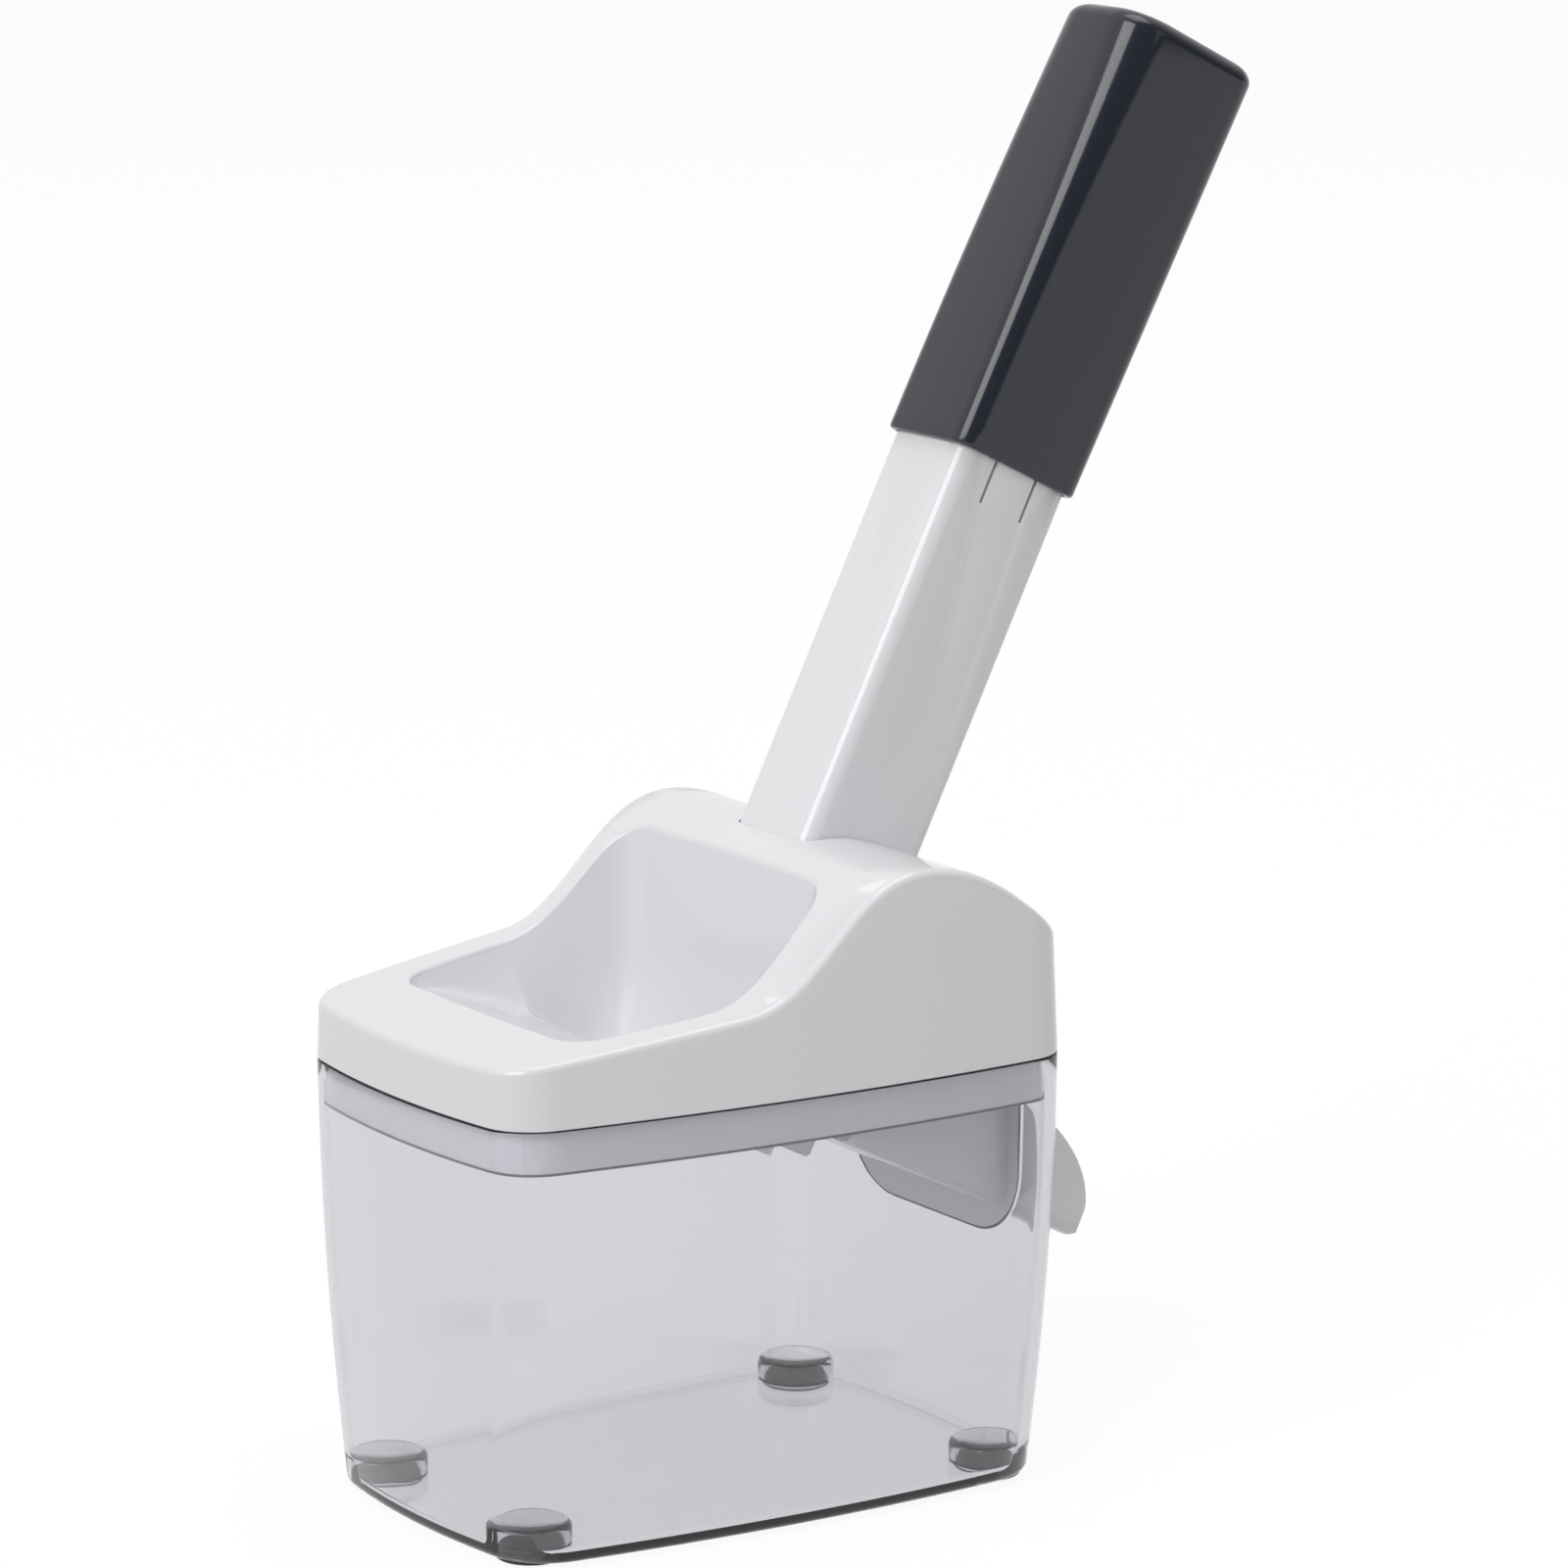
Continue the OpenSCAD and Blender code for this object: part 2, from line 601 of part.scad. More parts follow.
module guide_tube() color("white") on_axis() {
    difference() {
        union() {
            plate(tube_d, tube_w, tube_r, tube_z0, grip_z + sink);
            plate(tube_d, tube_w, tube_top_r, grip_z, tube_z1);
            plate(strip_d, strip_w, strip_r, tube_z0, tube_z0 + flange_t);
        }
        tube_bore(tube_wall + step_wall, tube_z0 - past, bush_z);
        tube_bore(tube_wall, bush_z, tube_z1 + past);
        for (sn = [-1, 1]) translate([sn * tongue_w / 2 - slit_w / 2, -tube_w, tongue_root])
            cube([slit_w, 2 * tube_w, tongue_tip - tongue_root]);
        translate([-tongue_w / 2, -tube_w, tongue_tip]) cube([tongue_w, 2 * tube_w, slit_w]);
        screw_places() disc(screw_d + 2 * fit, tube_z0 - past, tube_z0 + flange_t + past);
    }
    for (turn = [0, 180]) rotate(turn) translate([slit_w - tongue_w / 2, 0, 0]) rotate([90, 0, 90])
        linear_extrude(tongue_w - 2 * slit_w)
        polygon([[tube_w / 2 - sink, barb_z], [tube_w / 2 + barb_out, barb_z],
            [tube_w / 2, barb_z + barb_h], [tube_w / 2 - sink, barb_z + barb_h]]);
}

module tube_screws() color("silver") on_axis() screw_places() {
    disc(screw_d - 2 * running, strip_z - screw_l + 2 * past, tube_z0 + flange_t);
    disc(screw_head_d, tube_z0 + flange_t, tube_z0 + flange_t + screw_head_t);
}

module stripper_plate() color("white") on_axis() difference() {
    plate(strip_d, strip_w, strip_r, strip_z, strip_z + strip_t);
    disc(strip_hole_d, strip_z - past, strip_z + strip_t + past);
    screw_places() disc(screw_d + 2 * fit, strip_z - past, strip_z + strip_t + past);
}

module rod_bush() color("ivory") on_axis() difference() {
    union() {
        tube_bore(tube_wall + fit, bush_z, bush_z + bush_t);
        disc(spigot_d, bush_z, bush_z + bush_t + spigot_h);
    }
    disc(rod_d + 2 * running, bush_z - past, bush_z + bush_t + spigot_h + past);
}

// Grip

function grip_ring(inset, z) =
    let (f = clamp01((z - grip_z) / grip_l),
         n0 = inset + grip_tuck * f - (tube_d + grip_over) / 2,
         n1 = (tube_d + grip_over) / 2 + grip_flare * f - inset,
         r0 = mix(grip_r, grip_front_r, f * f) - inset / 2,
         r1 = mix(grip_r, grip_back_r, f) - inset / 3)
    [for (p = two_radius_rect(n0, n1, tube_w + grip_over - 2 * inset, r0, r1)) [p[0], p[1], z]];
GRIP_LEVELS = [0.2, 0.4, 0.6, 0.8];
grip_shoulder = grip_top - grip_crown - grip_top_r;
grip_low_r = 0.6;

module grip() color("darkslategray") on_axis() difference() {
    union() {
        difference() {
            skin([
                grip_ring(grip_low_r, grip_z),
                grip_ring(0, grip_z + grip_low_r),
                each [for (f = GRIP_LEVELS) grip_ring(0, grip_z + f * grip_l)],
                each [for (a = [0:22.5:90])
                    grip_ring(grip_top_r * (1 - cos(a)), grip_shoulder + grip_top_r * sin(a))],
                grip_ring(2 * grip_top_r, grip_top)]);
            plate(bore_d, tube_w + 2 * slip, tube_r + slip, grip_z - past, grip_z + lip_t + past);
            plate(bore_d, bore_w, tube_r + side_gap, grip_z + lip_t, grip_z + stroke + past);
            plate(bore_d, bore_w, tube_top_r + slip, grip_z + stroke, step_z);
            disc(end_seat_d + 2 * past, step_z - past, ceiling_z);
        }
        disc(grip_boss_d, ceiling_z - grip_boss_l, ceiling_z + sink);
    }
    disc(rod_d, ceiling_z - grip_boss_l - past, ceiling_z - grip_boss_l + rod_grip_l + fit);
}

// Plunger

rod_z0 = head_top - head_socket_l;
rod_z1 = ceiling_z - grip_boss_l + rod_grip_l;
pin_z = head_top - head_socket_l / 2;

module plunger_rod() color("lightgray") on_axis() difference() {
    disc(rod_d, rod_z0, rod_z1);
    translate([0, 0, pin_z]) rotate([90, 0, 0]) cylinder(d = pin_d, h = 2 * rod_d, center = true);
}

module pitting_head() color("silver") on_axis() difference() {
    union() {
        disc(head_d, head_top - shank_l, head_top);
        intersection() {
            for (a = [0, 90]) rotate(a) translate([-head_d / 2, -blade_t / 2, tip_z])
                cube([head_d, blade_t, head_l - shank_l + sink]);
            disc(head_d, tip_z, head_top);
        }
    }
    disc(rod_d, rod_z0, head_top + past);
    translate([0, 0, tip_z - tip_h]) cylinder(d1 = head_d, d2 = tip_flat, h = 2 * tip_h);
    translate([0, 0, pin_z]) rotate([90, 0, 0]) cylinder(d = pin_d, h = 2 * head_d, center = true);
}

module head_pin() color("dimgray") on_axis() translate([0, 0, pin_z]) rotate([90, 0, 0])
    cylinder(d = pin_d, h = head_d - pin_short, center = true);

module spring_cup() color("silver") on_axis() difference() {
    disc(end_seat_d, ceiling_z - end_seat_t - fit, ceiling_z - fit);
    disc(grip_boss_d + 2 * fit, ceiling_z - end_seat_t - past, ceiling_z + past);
}

// Return spring: one round wire, its end curls closed up against the seats

spring_n = spring_curls * SPRING_RINGS;
spring_h = spring_z1 - spring_z0 - wire_d;
end_gap = 0.5;
end_pitch = wire_d + end_gap;
function curl_height(turn) =
    let (open = (spring_h - 2 * end_pitch) / (spring_curls - 2))
    turn < 1 ? end_pitch * turn
    : turn > spring_curls - 1 ? spring_h - end_pitch * (spring_curls - turn)
    : end_pitch + open * (turn - 1);
function curl_point(turn) = [spring_d / 2 * cos(360 * turn), spring_d / 2 * sin(360 * turn),
    spring_z0 + wire_d / 2 + curl_height(turn)];
function wire_ring(turn) =
    let (p = curl_point(turn))
    [for (k = [0:SPRING_SIDES - 1]) let (a = 360 * k / SPRING_SIDES, r = wire_d / 2 * cos(a))
        [p[0] + r * cos(360 * turn), p[1] + r * sin(360 * turn), p[2] + wire_d / 2 * sin(a)]];
SPRING_POINTS = [for (k = [0:spring_n]) curl_point(k / SPRING_RINGS)];
spring_pitches = [for (k = [0:spring_n - SPRING_RINGS])
    norm(SPRING_POINTS[k + SPRING_RINGS] - SPRING_POINTS[k])];
spring_gap = min(spring_pitches) - wire_d;
echo(spring_gap = spring_gap);

module return_spring() color("gray") on_axis() skin([for (k = [0:spring_n]) wire_ring(k / SPRING_RINGS)]);

container();
foot(-1, -1);  // foot_front_near
foot(-1, 1);  // foot_front_far
foot(1, -1);  // foot_rear_near
foot(1, 1);  // foot_rear_far
top_cover();
inner_frame();
seat_ring();
seat_clamp();
chute();
guide_tube();
tube_screws();
stripper_plate();
rod_bush();
grip();
plunger_rod();
pitting_head();
head_pin();
spring_cup();
return_spring();
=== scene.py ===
"""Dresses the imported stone-fruit pitter: finer shells, moulded finishes, studio stage and camera.

Sizes are in millimetres in the part's own frame, in which X = 0 is the middle of the stone box,
and become metres in the row frame when a mesh is made.
"""
import logging
import math
from dataclasses import dataclass, field
from enum import Enum
from typing import Callable, Iterable, Sequence

import bmesh
import bpy
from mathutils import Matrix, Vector


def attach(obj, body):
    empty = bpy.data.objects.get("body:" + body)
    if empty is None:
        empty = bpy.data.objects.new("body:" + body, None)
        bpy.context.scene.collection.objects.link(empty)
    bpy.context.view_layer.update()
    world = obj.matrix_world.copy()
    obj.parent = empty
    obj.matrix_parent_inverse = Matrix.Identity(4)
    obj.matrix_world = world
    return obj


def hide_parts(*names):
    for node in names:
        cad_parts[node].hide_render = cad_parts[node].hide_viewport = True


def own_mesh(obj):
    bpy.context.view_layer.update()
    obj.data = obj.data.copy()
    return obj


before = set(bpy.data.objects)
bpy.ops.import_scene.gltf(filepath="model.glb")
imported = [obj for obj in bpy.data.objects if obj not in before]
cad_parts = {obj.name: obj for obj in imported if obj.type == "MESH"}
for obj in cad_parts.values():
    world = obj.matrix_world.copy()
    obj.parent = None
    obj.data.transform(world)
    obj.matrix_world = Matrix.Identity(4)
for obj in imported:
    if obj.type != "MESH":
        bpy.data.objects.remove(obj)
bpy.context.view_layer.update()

LOG = logging.getLogger("pitter")
MM = 0.001
# Points closer than these lengths become one, before and after a mesh's edges are rounded
CLOSE = 0.002
SLIVER = 0.01
# Faces within this angle of each other, in degrees, become one before edges are rounded
FLAT_ANGLE = 0.5

Flat = tuple[float, float]
Point = tuple[float, float, float]
Ring = list[Point]
Colour = tuple[float, float, float]
Obj = bpy.types.Object
Tree = bpy.types.NodeTree
Node = bpy.types.Node
Socket = bpy.types.NodeSocket


class Body(Enum):
    """The rigid bodies of the frame."""

    BOX = "stone_box"
    TOP = "top_unit"
    PLUNGER = "plunger"


class Slot(Enum):
    """The material slots of the record."""

    CLEAR = "clear_plastic"
    WHITE = "white_plastic"
    DARK = "anthracite_plastic"
    BUSH = "bush_plastic"
    FOOT = "foot_rubber"
    SEAT = "seat_rubber"
    STEEL = "stainless"


class Cut(Enum):
    """How one mesh acts on another."""

    DIFFERENCE = "DIFFERENCE"
    UNION = "UNION"
    INTERSECT = "INTERSECT"


def mix(a: float, b: float, t: float) -> float:
    """Blend from a at t = 0 to b at t = 1."""
    return a + (b - a) * t


def clamp01(t: float) -> float:
    """Keep t between 0 and 1."""
    return min(1.0, max(0.0, t))


def swell(t: float) -> float:
    """Smooth step from 0 to 1 with level ends."""
    return t * t * t * (t * (t * 6 - 15) + 10)


def bow_radius(chord: float, bow: float) -> float:
    """Radius of an arc that rises by bow over a chord."""
    return (chord * chord / 4 + bow * bow) / (2 * bow)


@dataclass(frozen=True)
class Sizes:
    """Leading sizes of the whole part, in millimetres and degrees."""

    rim_l: float = 131.4
    rim_w: float = 93.6
    rim_flare: float = 19.6
    rim_z: float = 87.5
    side_bow: float = 4.3
    end_bow: float = 4.4
    corner_r: float = 11.6
    box_wall: float = 2.0
    notch_w: float = 58.0
    notch_depth: float = 43.0
    notch_r: float = 15.0
    tilt: float = 26.9
    axis_x: float = 17.0
    grip_z: float = 123.6
    grip_l: float = 94.8
    tube_d: float = 29.2
    tube_w: float = 24.8
    tube_r: float = 3.6
    grip_over: float = 3.1
    grip_flare: float = 3.3
    grip_top_r: float = 5.0
    stroke: float = 54.0
    rod_d: float = 6.0

    @property
    def taper(self) -> float:
        """Share by which the plan widens for each millimetre towards the back."""
        return self.rim_flare / (self.rim_l * self.rim_w)

    @property
    def grip_top(self) -> float:
        """Height of the grip's top along the axis."""
        return self.grip_z + self.grip_l

    @property
    def x_mid(self) -> float:
        """Middle of the whole part's box in X.

        Returns:
            The place in millimetres from the middle of the stone box.
        """
        back = (self.tube_d + self.grip_over) / 2 + self.grip_flare - self.grip_top_r
        a = math.radians(self.tilt)
        reach = (self.grip_top - self.grip_top_r) * math.sin(a) + back * math.cos(a)
        return (self.axis_x + reach + self.grip_top_r - self.rim_l / 2) / 2

    def on_axis(self, n: float, y: float, s: float) -> Point:
        """Point in the part's frame.

        Args:
            n: distance behind the plunger's axis.
            y: distance to the far side.
            s: height along the axis above the rim.

        Returns:
            The point in millimetres.
        """
        a = math.radians(self.tilt)
        x = self.axis_x + n * math.cos(a) + s * math.sin(a)
        return x, y, self.rim_z + s * math.cos(a) - n * math.sin(a)

    def row(self, p: Sequence[float]) -> Vector:
        """Point in metres in the row frame."""
        return Vector((p[0] - self.x_mid, p[1], p[2])) * MM


SIZES = Sizes()


class BowedOutline:
    """A rectangle with bowed sides and round corners, as points that share their angles at any inset."""

    def __init__(self, length: float, width: float, bow_side: float, bow_end: float, radius: float,
                 steps: tuple[int, int, int] = (10, 12, 26), shift: float = 0.0) -> None:
        """Lay out the arcs.

        Args:
            length: size along X.
            width: size along Y.
            bow_side: how far each long side bows out.
            bow_end: how far each short end bows out.
            radius: corner radius.
            steps: steps of half an end, a corner and half a side.
            shift: middle of the outline in X.
        """
        rs, re = bow_radius(length, bow_side), bow_radius(width, bow_end)
        side, end = (0.0, width / 2 - rs), (length / 2 - re, 0.0)
        c = self.corner_centre(side, rs - radius, end, re - radius)
        a_end = math.atan2(c[1] - end[1], c[0] - end[0])
        a_side = math.atan2(c[1] - side[1], c[0] - side[0])
        quarter = [(end, re, mix(0, a_end, k / steps[0])) for k in range(steps[0])]
        quarter += [(c, radius, mix(a_end, a_side, k / steps[1])) for k in range(steps[1])]
        quarter += [(side, rs, mix(a_side, math.pi / 2, k / steps[2])) for k in range(steps[2] + 1)]
        m = len(quarter) - 1
        self.parts = [(q, 1, 1) for q in quarter[:m]] + [(q, -1, 1) for q in quarter[m:0:-1]]
        self.parts += [(q, -1, -1) for q in quarter[:m]] + [(q, 1, -1) for q in quarter[m:0:-1]]
        self.shift = shift

    @staticmethod
    def corner_centre(a: Sequence[float], ra: float, b: Sequence[float], rb: float) -> Flat:
        """Centre of the corner arc that touches a side arc and an end arc.

        Args:
            a: centre of the side arc.
            ra: its radius less the corner's.
            b: centre of the end arc.
            rb: its radius less the corner's.

        Returns:
            The centre.
        """
        d = math.dist(a, b)
        e = ((b[0] - a[0]) / d, (b[1] - a[1]) / d)
        along = (ra * ra - rb * rb + d * d) / (2 * d)
        off = math.sqrt(ra * ra - along * along)
        return a[0] + along * e[0] + off * e[1], a[1] + along * e[1] - off * e[0]

    def __len__(self) -> int:
        """Number of points."""
        return len(self.parts)

    def point(self, i: int, inset: float) -> Flat:
        """Point of the outline, with the plan's taper.

        Args:
            i: the point's number.
            inset: how far the outline is drawn in.

        Returns:
            Its X and Y.
        """
        (c, r, a), sx, sy = self.parts[i]
        x = sx * (c[0] + (r - inset) * math.cos(a)) + self.shift
        y = sy * (c[1] + (r - inset) * math.sin(a))
        return x, y * (1 + SIZES.taper * x)

    def ring(self, inset: float) -> list[Flat]:
        """All points of the outline drawn in by inset."""
        return [self.point(i, inset) for i in range(len(self))]


def rim_outline() -> BowedOutline:
    """Outline of the box's rim, which the cover and the skirt's seal follow."""
    return BowedOutline(SIZES.rim_l, SIZES.rim_w, SIZES.side_bow, SIZES.end_bow, SIZES.corner_r)


def corner_rect(x0: float, x1: float, width: float, r0: float, r1: float, n: int = 10) -> list[Flat]:
    """Rectangle with its own corner radius at each end.

    Args:
        x0: first end.
        x1: second end.
        width: size across.
        r0: corner radius at the first end.
        r1: corner radius at the second end.
        n: steps of each corner.

    Returns:
        The outline's points, counter-clockwise.
    """
    out = []
    corners = [(x1 - r1, width / 2 - r1, r1), (x0 + r0, width / 2 - r0, r0),
               (x0 + r0, r0 - width / 2, r0), (x1 - r1, r1 - width / 2, r1)]
    for turn, (cx, cy, r) in enumerate(corners):
        for k in range(n + 1):
            a = math.pi / 2 * (turn + k / n)
            out.append((cx + r * math.cos(a), cy + r * math.sin(a)))
    return out


def arc_steps(n: int) -> list[float]:
    """Angles of a quarter turn in n steps, both ends included."""
    return [math.pi / 2 * k / n for k in range(n + 1)]


def rounding(r: float, n: int) -> list[Flat]:
    """Distances of a rounded edge from its two faces in n steps, from (0, r) to (r, 0)."""
    return [(r * (1 - math.cos(a)), r * (1 - math.sin(a))) for a in arc_steps(n)]


class MeshKit:
    """Makes, joins, trims and smooths meshes."""

    @staticmethod
    def add(name: str, verts: Iterable[Sequence[float]], faces: Iterable[Sequence[int]]) -> Obj:
        """Make an object from points in millimetres.

        Args:
            name: the object's name.
            verts: points in the part's frame.
            faces: point numbers of each face.

        Returns:
            The new object, with its faces turned outwards.
        """
        mesh = bpy.data.meshes.new(name)
        mesh.from_pydata([SIZES.row(v) for v in verts], [], [tuple(f) for f in faces])
        bm = bmesh.new()
        bm.from_mesh(mesh)
        bmesh.ops.recalc_face_normals(bm, faces=bm.faces)
        bm.to_mesh(mesh)
        bm.free()
        obj = bpy.data.objects.new(name, mesh)
        bpy.context.scene.collection.objects.link(obj)
        return obj

    @classmethod
    def loft(cls, name: str, rings: Sequence[Ring], closed: bool = False) -> Obj:
        """Skin a stack of rings that have the same number of points.

        Args:
            name: the object's name.
            rings: the rings in order.
            closed: join the last ring to the first instead of capping both ends.

        Returns:
            A closed object.
        """
        n = len(rings[0])
        verts = [p for ring in rings for p in ring]
        spans = [(k, k + 1) for k in range(len(rings) - 1)]
        if closed:
            spans.append((len(rings) - 1, 0))
        faces = [(a * n + i, a * n + (i + 1) % n, b * n + (i + 1) % n, b * n + i)
                 for a, b in spans for i in range(n)]
        if not closed:
            for k in (0, len(rings) - 1):
                middle = tuple(sum(p[j] for p in rings[k]) / n for j in range(3))
                verts.append(middle)
                faces += [(len(verts) - 1, k * n + i, k * n + (i + 1) % n) for i in range(n)]
        return cls.add(name, verts, faces)

    @classmethod
    def prism(cls, name: str, outline: Sequence[Sequence[float]],
              place: Callable[[float, float, float], Point], lo: float, hi: float) -> Obj:
        """Extrude an outline between two levels.

        Args:
            name: the object's name.
            outline: points in the prism's own plane.
            place: turns plane coordinates and a level into a point of the part's frame.
            lo: first level.
            hi: second level.

        Returns:
            A closed object with one face on each end.
        """
        n = len(outline)
        verts = [place(u, v, level) for level in (lo, hi) for u, v in outline]
        faces: list[Sequence[int]] = [(i, (i + 1) % n, n + (i + 1) % n, n + i) for i in range(n)]
        faces += [tuple(range(n)), tuple(range(2 * n - 1, n - 1, -1))]
        return cls.add(name, verts, faces)

    @staticmethod
    def settle(obj: Obj) -> None:
        """Apply an object's modifiers to its mesh.

        Args:
            obj: the object.
        """
        graph = bpy.context.evaluated_depsgraph_get()
        graph.update()
        mesh = bpy.data.meshes.new_from_object(obj.evaluated_get(graph))
        obj.modifiers.clear()
        obj.data = mesh

    @classmethod
    def combine(cls, obj: Obj, tool: Obj, cut: Cut) -> None:
        """Act on a mesh with a tool mesh and remove the tool.

        Args:
            obj: the object that stays.
            tool: the object that acts on it.
            cut: how it acts.
        """
        mod = obj.modifiers.new("cut", "BOOLEAN")
        mod.operation = cut.value
        mod.solver = "EXACT"
        mod.object = tool
        cls.settle(obj)
        bpy.data.objects.remove(tool)

    @classmethod
    def soften(cls, obj: Obj, width: float, segments: int = 3, angle: float = 35.0) -> None:
        """Round the sharp edges of a mesh.

        Args:
            obj: the object.
            width: width of the rounding in millimetres.
            segments: faces across the rounding.
            angle: edges sharper than this, in degrees, are rounded.
        """
        bm = bmesh.new()
        bm.from_mesh(obj.data)
        bmesh.ops.remove_doubles(bm, verts=bm.verts, dist=CLOSE * MM)
        bmesh.ops.dissolve_limit(bm, angle_limit=math.radians(FLAT_ANGLE), verts=bm.verts, edges=bm.edges)
        bm.to_mesh(obj.data)
        bm.free()
        bevel = obj.modifiers.new("edges", "BEVEL")
        bevel.width = width * MM
        bevel.segments = segments
        bevel.limit_method = "ANGLE"
        bevel.angle_limit = math.radians(angle)
        bevel.use_clamp_overlap = True
        cls.settle(obj)

    @staticmethod
    def smooth(obj: Obj, angle: float = 32.0) -> None:
        """Clear slivers and flaps from a mesh and shade it smooth except at its sharp edges.

        Args:
            obj: the object.
            angle: edges sharper than this, in degrees, stay sharp.
        """
        bm = bmesh.new()
        bm.from_mesh(obj.data)
        bmesh.ops.remove_doubles(bm, verts=bm.verts, dist=SLIVER * MM)
        bmesh.ops.dissolve_degenerate(bm, edges=bm.edges, dist=SLIVER * MM)
        sides: dict[frozenset[bmesh.types.BMVert], list[bmesh.types.BMFace]] = {}
        for face in bm.faces:
            sides.setdefault(frozenset(face.verts), []).append(face)
        flaps = [face for pair in sides.values() if len(pair) > 1 for face in pair]
        bmesh.ops.delete(bm, geom=flaps, context="FACES_ONLY")
        bm.to_mesh(obj.data)
        bm.free()
        obj.data.shade_smooth()
        obj.data.set_sharp_from_angle(angle=math.radians(angle))

    @classmethod
    def copy_node(cls, node: str, name: str, width: float) -> Obj:
        """Copy a node's mesh into a new object and round its edges.

        Args:
            node: the frame's node.
            name: the new object's name.
            width: edge rounding in millimetres, 0 for none.

        Returns:
            The new object.
        """
        obj = bpy.data.objects.new(name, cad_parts[node].data.copy())
        obj.data.materials.clear()
        bpy.context.scene.collection.objects.link(obj)
        if width > 0:
            cls.soften(obj, width)
        cls.smooth(obj)
        return obj


class NodeGroups:
    """Shader node groups that several finishes share."""

    @staticmethod
    def new_group(name: str, inputs: Sequence[tuple[str, str, float]], outputs: Sequence[tuple[str, str]]
                  ) -> tuple[Tree, Node, Node]:
        """Make an empty group with named sockets.

        Args:
            name: the group's name.
            inputs: name, socket kind and default of each input.
            outputs: name and socket kind of each output.

        Returns:
            The group's tree, its input node and its output node.
        """
        tree = bpy.data.node_groups.new(name, "ShaderNodeTree")
        for label, kind, value in inputs:
            socket = tree.interface.new_socket(name=label, in_out="INPUT", socket_type=kind)
            socket.default_value = value
        for label, kind in outputs:
            tree.interface.new_socket(name=label, in_out="OUTPUT", socket_type=kind)
        return tree, tree.nodes.new("NodeGroupInput"), tree.nodes.new("NodeGroupOutput")

    @staticmethod
    def noise(tree: Tree, vector: Socket, scale: Socket | float,
              detail: float, rough: float = 0.5) -> Socket:
        """Add a noise texture.

        Args:
            tree: the tree.
            vector: the place.
            scale: the noise's scale, fixed or from a socket.
            detail: its detail.
            rough: its roughness.

        Returns:
            Its value.
        """
        node = tree.nodes.new("ShaderNodeTexNoise")
        node.inputs["Detail"].default_value = detail
        node.inputs["Roughness"].default_value = rough
        tree.links.new(vector, node.inputs["Vector"])
        if isinstance(scale, (int, float)):
            node.inputs["Scale"].default_value = scale
        else:
            tree.links.new(scale, node.inputs["Scale"])
        return node.outputs[0]

    @staticmethod
    def math(tree: Tree, kind: str, a: Socket | float,
             b: Socket | float, c: Socket | float = 0.0) -> Socket:
        """Add a math node.

        Args:
            tree: the tree.
            kind: the node's operation.
            a: first value, fixed or from a socket.
            b: second value.
            c: third value.

        Returns:
            Its result.
        """
        node = tree.nodes.new("ShaderNodeMath")
        node.operation = kind
        for socket, value in zip(node.inputs, (a, b, c)):
            if isinstance(value, (int, float)):
                socket.default_value = value
            else:
                tree.links.new(value, socket)
        return node.outputs[0]

    @classmethod
    def moulded_skin(cls) -> Tree:
        """Skin of a moulded piece: slow flow marks, a fine grain and a matching roughness.

        Returns:
            A group with Tone, Roughness and Height outputs.
        """
        tree, inp, out = cls.new_group(
            "Moulded skin",
            [("Flow", "NodeSocketFloat", 14.0), ("Grain", "NodeSocketFloat", 900.0),
             ("Roughness", "NodeSocketFloat", 0.3), ("Spread", "NodeSocketFloat", 0.06)],
            [("Tone", "NodeSocketFloat"), ("Roughness", "NodeSocketFloat"), ("Height", "NodeSocketFloat")])
        place = tree.nodes.new("ShaderNodeTexCoord").outputs["Object"]
        flow = cls.noise(tree, place, inp.outputs["Flow"], 3.0)
        grain = cls.noise(tree, place, inp.outputs["Grain"], 2.0, 0.6)
        peel = cls.noise(tree, place, 160.0, 1.0)
        tone = cls.math(tree, "MULTIPLY_ADD", grain, 0.25, cls.math(tree, "MULTIPLY", flow, 0.75))
        centred = cls.math(tree, "SUBTRACT", tone, 0.5)
        rough = cls.math(tree, "MULTIPLY_ADD", centred, inp.outputs["Spread"], inp.outputs["Roughness"])
        height = cls.math(tree, "MULTIPLY_ADD", grain, 0.3, cls.math(tree, "MULTIPLY", peel, 0.7))
        tree.links.new(tone, out.inputs["Tone"])
        tree.links.new(rough, out.inputs["Roughness"])
        tree.links.new(height, out.inputs["Height"])
        return tree

    @classmethod
    def handling(cls) -> Tree:
        """Traces of use: fine wipe marks in two directions and soft dust in hollows.

        Returns:
            A group with Marks and Dust outputs.
        """
        tree, inp, out = cls.new_group(
            "Handling", [("Scale", "NodeSocketFloat", 60.0)],
            [("Marks", "NodeSocketFloat"), ("Dust", "NodeSocketFloat")])
        place = tree.nodes.new("ShaderNodeTexCoord").outputs["Object"]
        lines = []
        for turn in (0.5, -0.9):
            mapping = tree.nodes.new("ShaderNodeMapping")
            mapping.inputs["Rotation"].default_value = (turn, turn * 0.6, turn)
            mapping.inputs["Scale"].default_value = (1.0, 16.0, 16.0)
            tree.links.new(place, mapping.inputs["Vector"])
            value = cls.noise(tree, mapping.outputs[0], inp.outputs["Scale"], 2.0, 0.7)
            lines.append(cls.math(tree, "POWER", value, 5.0))
        marks = cls.math(tree, "ADD", lines[0], lines[1])
        shape = tree.nodes.new("ShaderNodeNewGeometry")
        hollow = cls.math(tree, "SUBTRACT", 0.5, shape.outputs["Pointiness"])
        dust = cls.math(tree, "MAXIMUM", cls.math(tree, "MULTIPLY", hollow, 6.0), 0.0)
        tree.links.new(marks, out.inputs["Marks"])
        tree.links.new(dust, out.inputs["Dust"])
        return tree

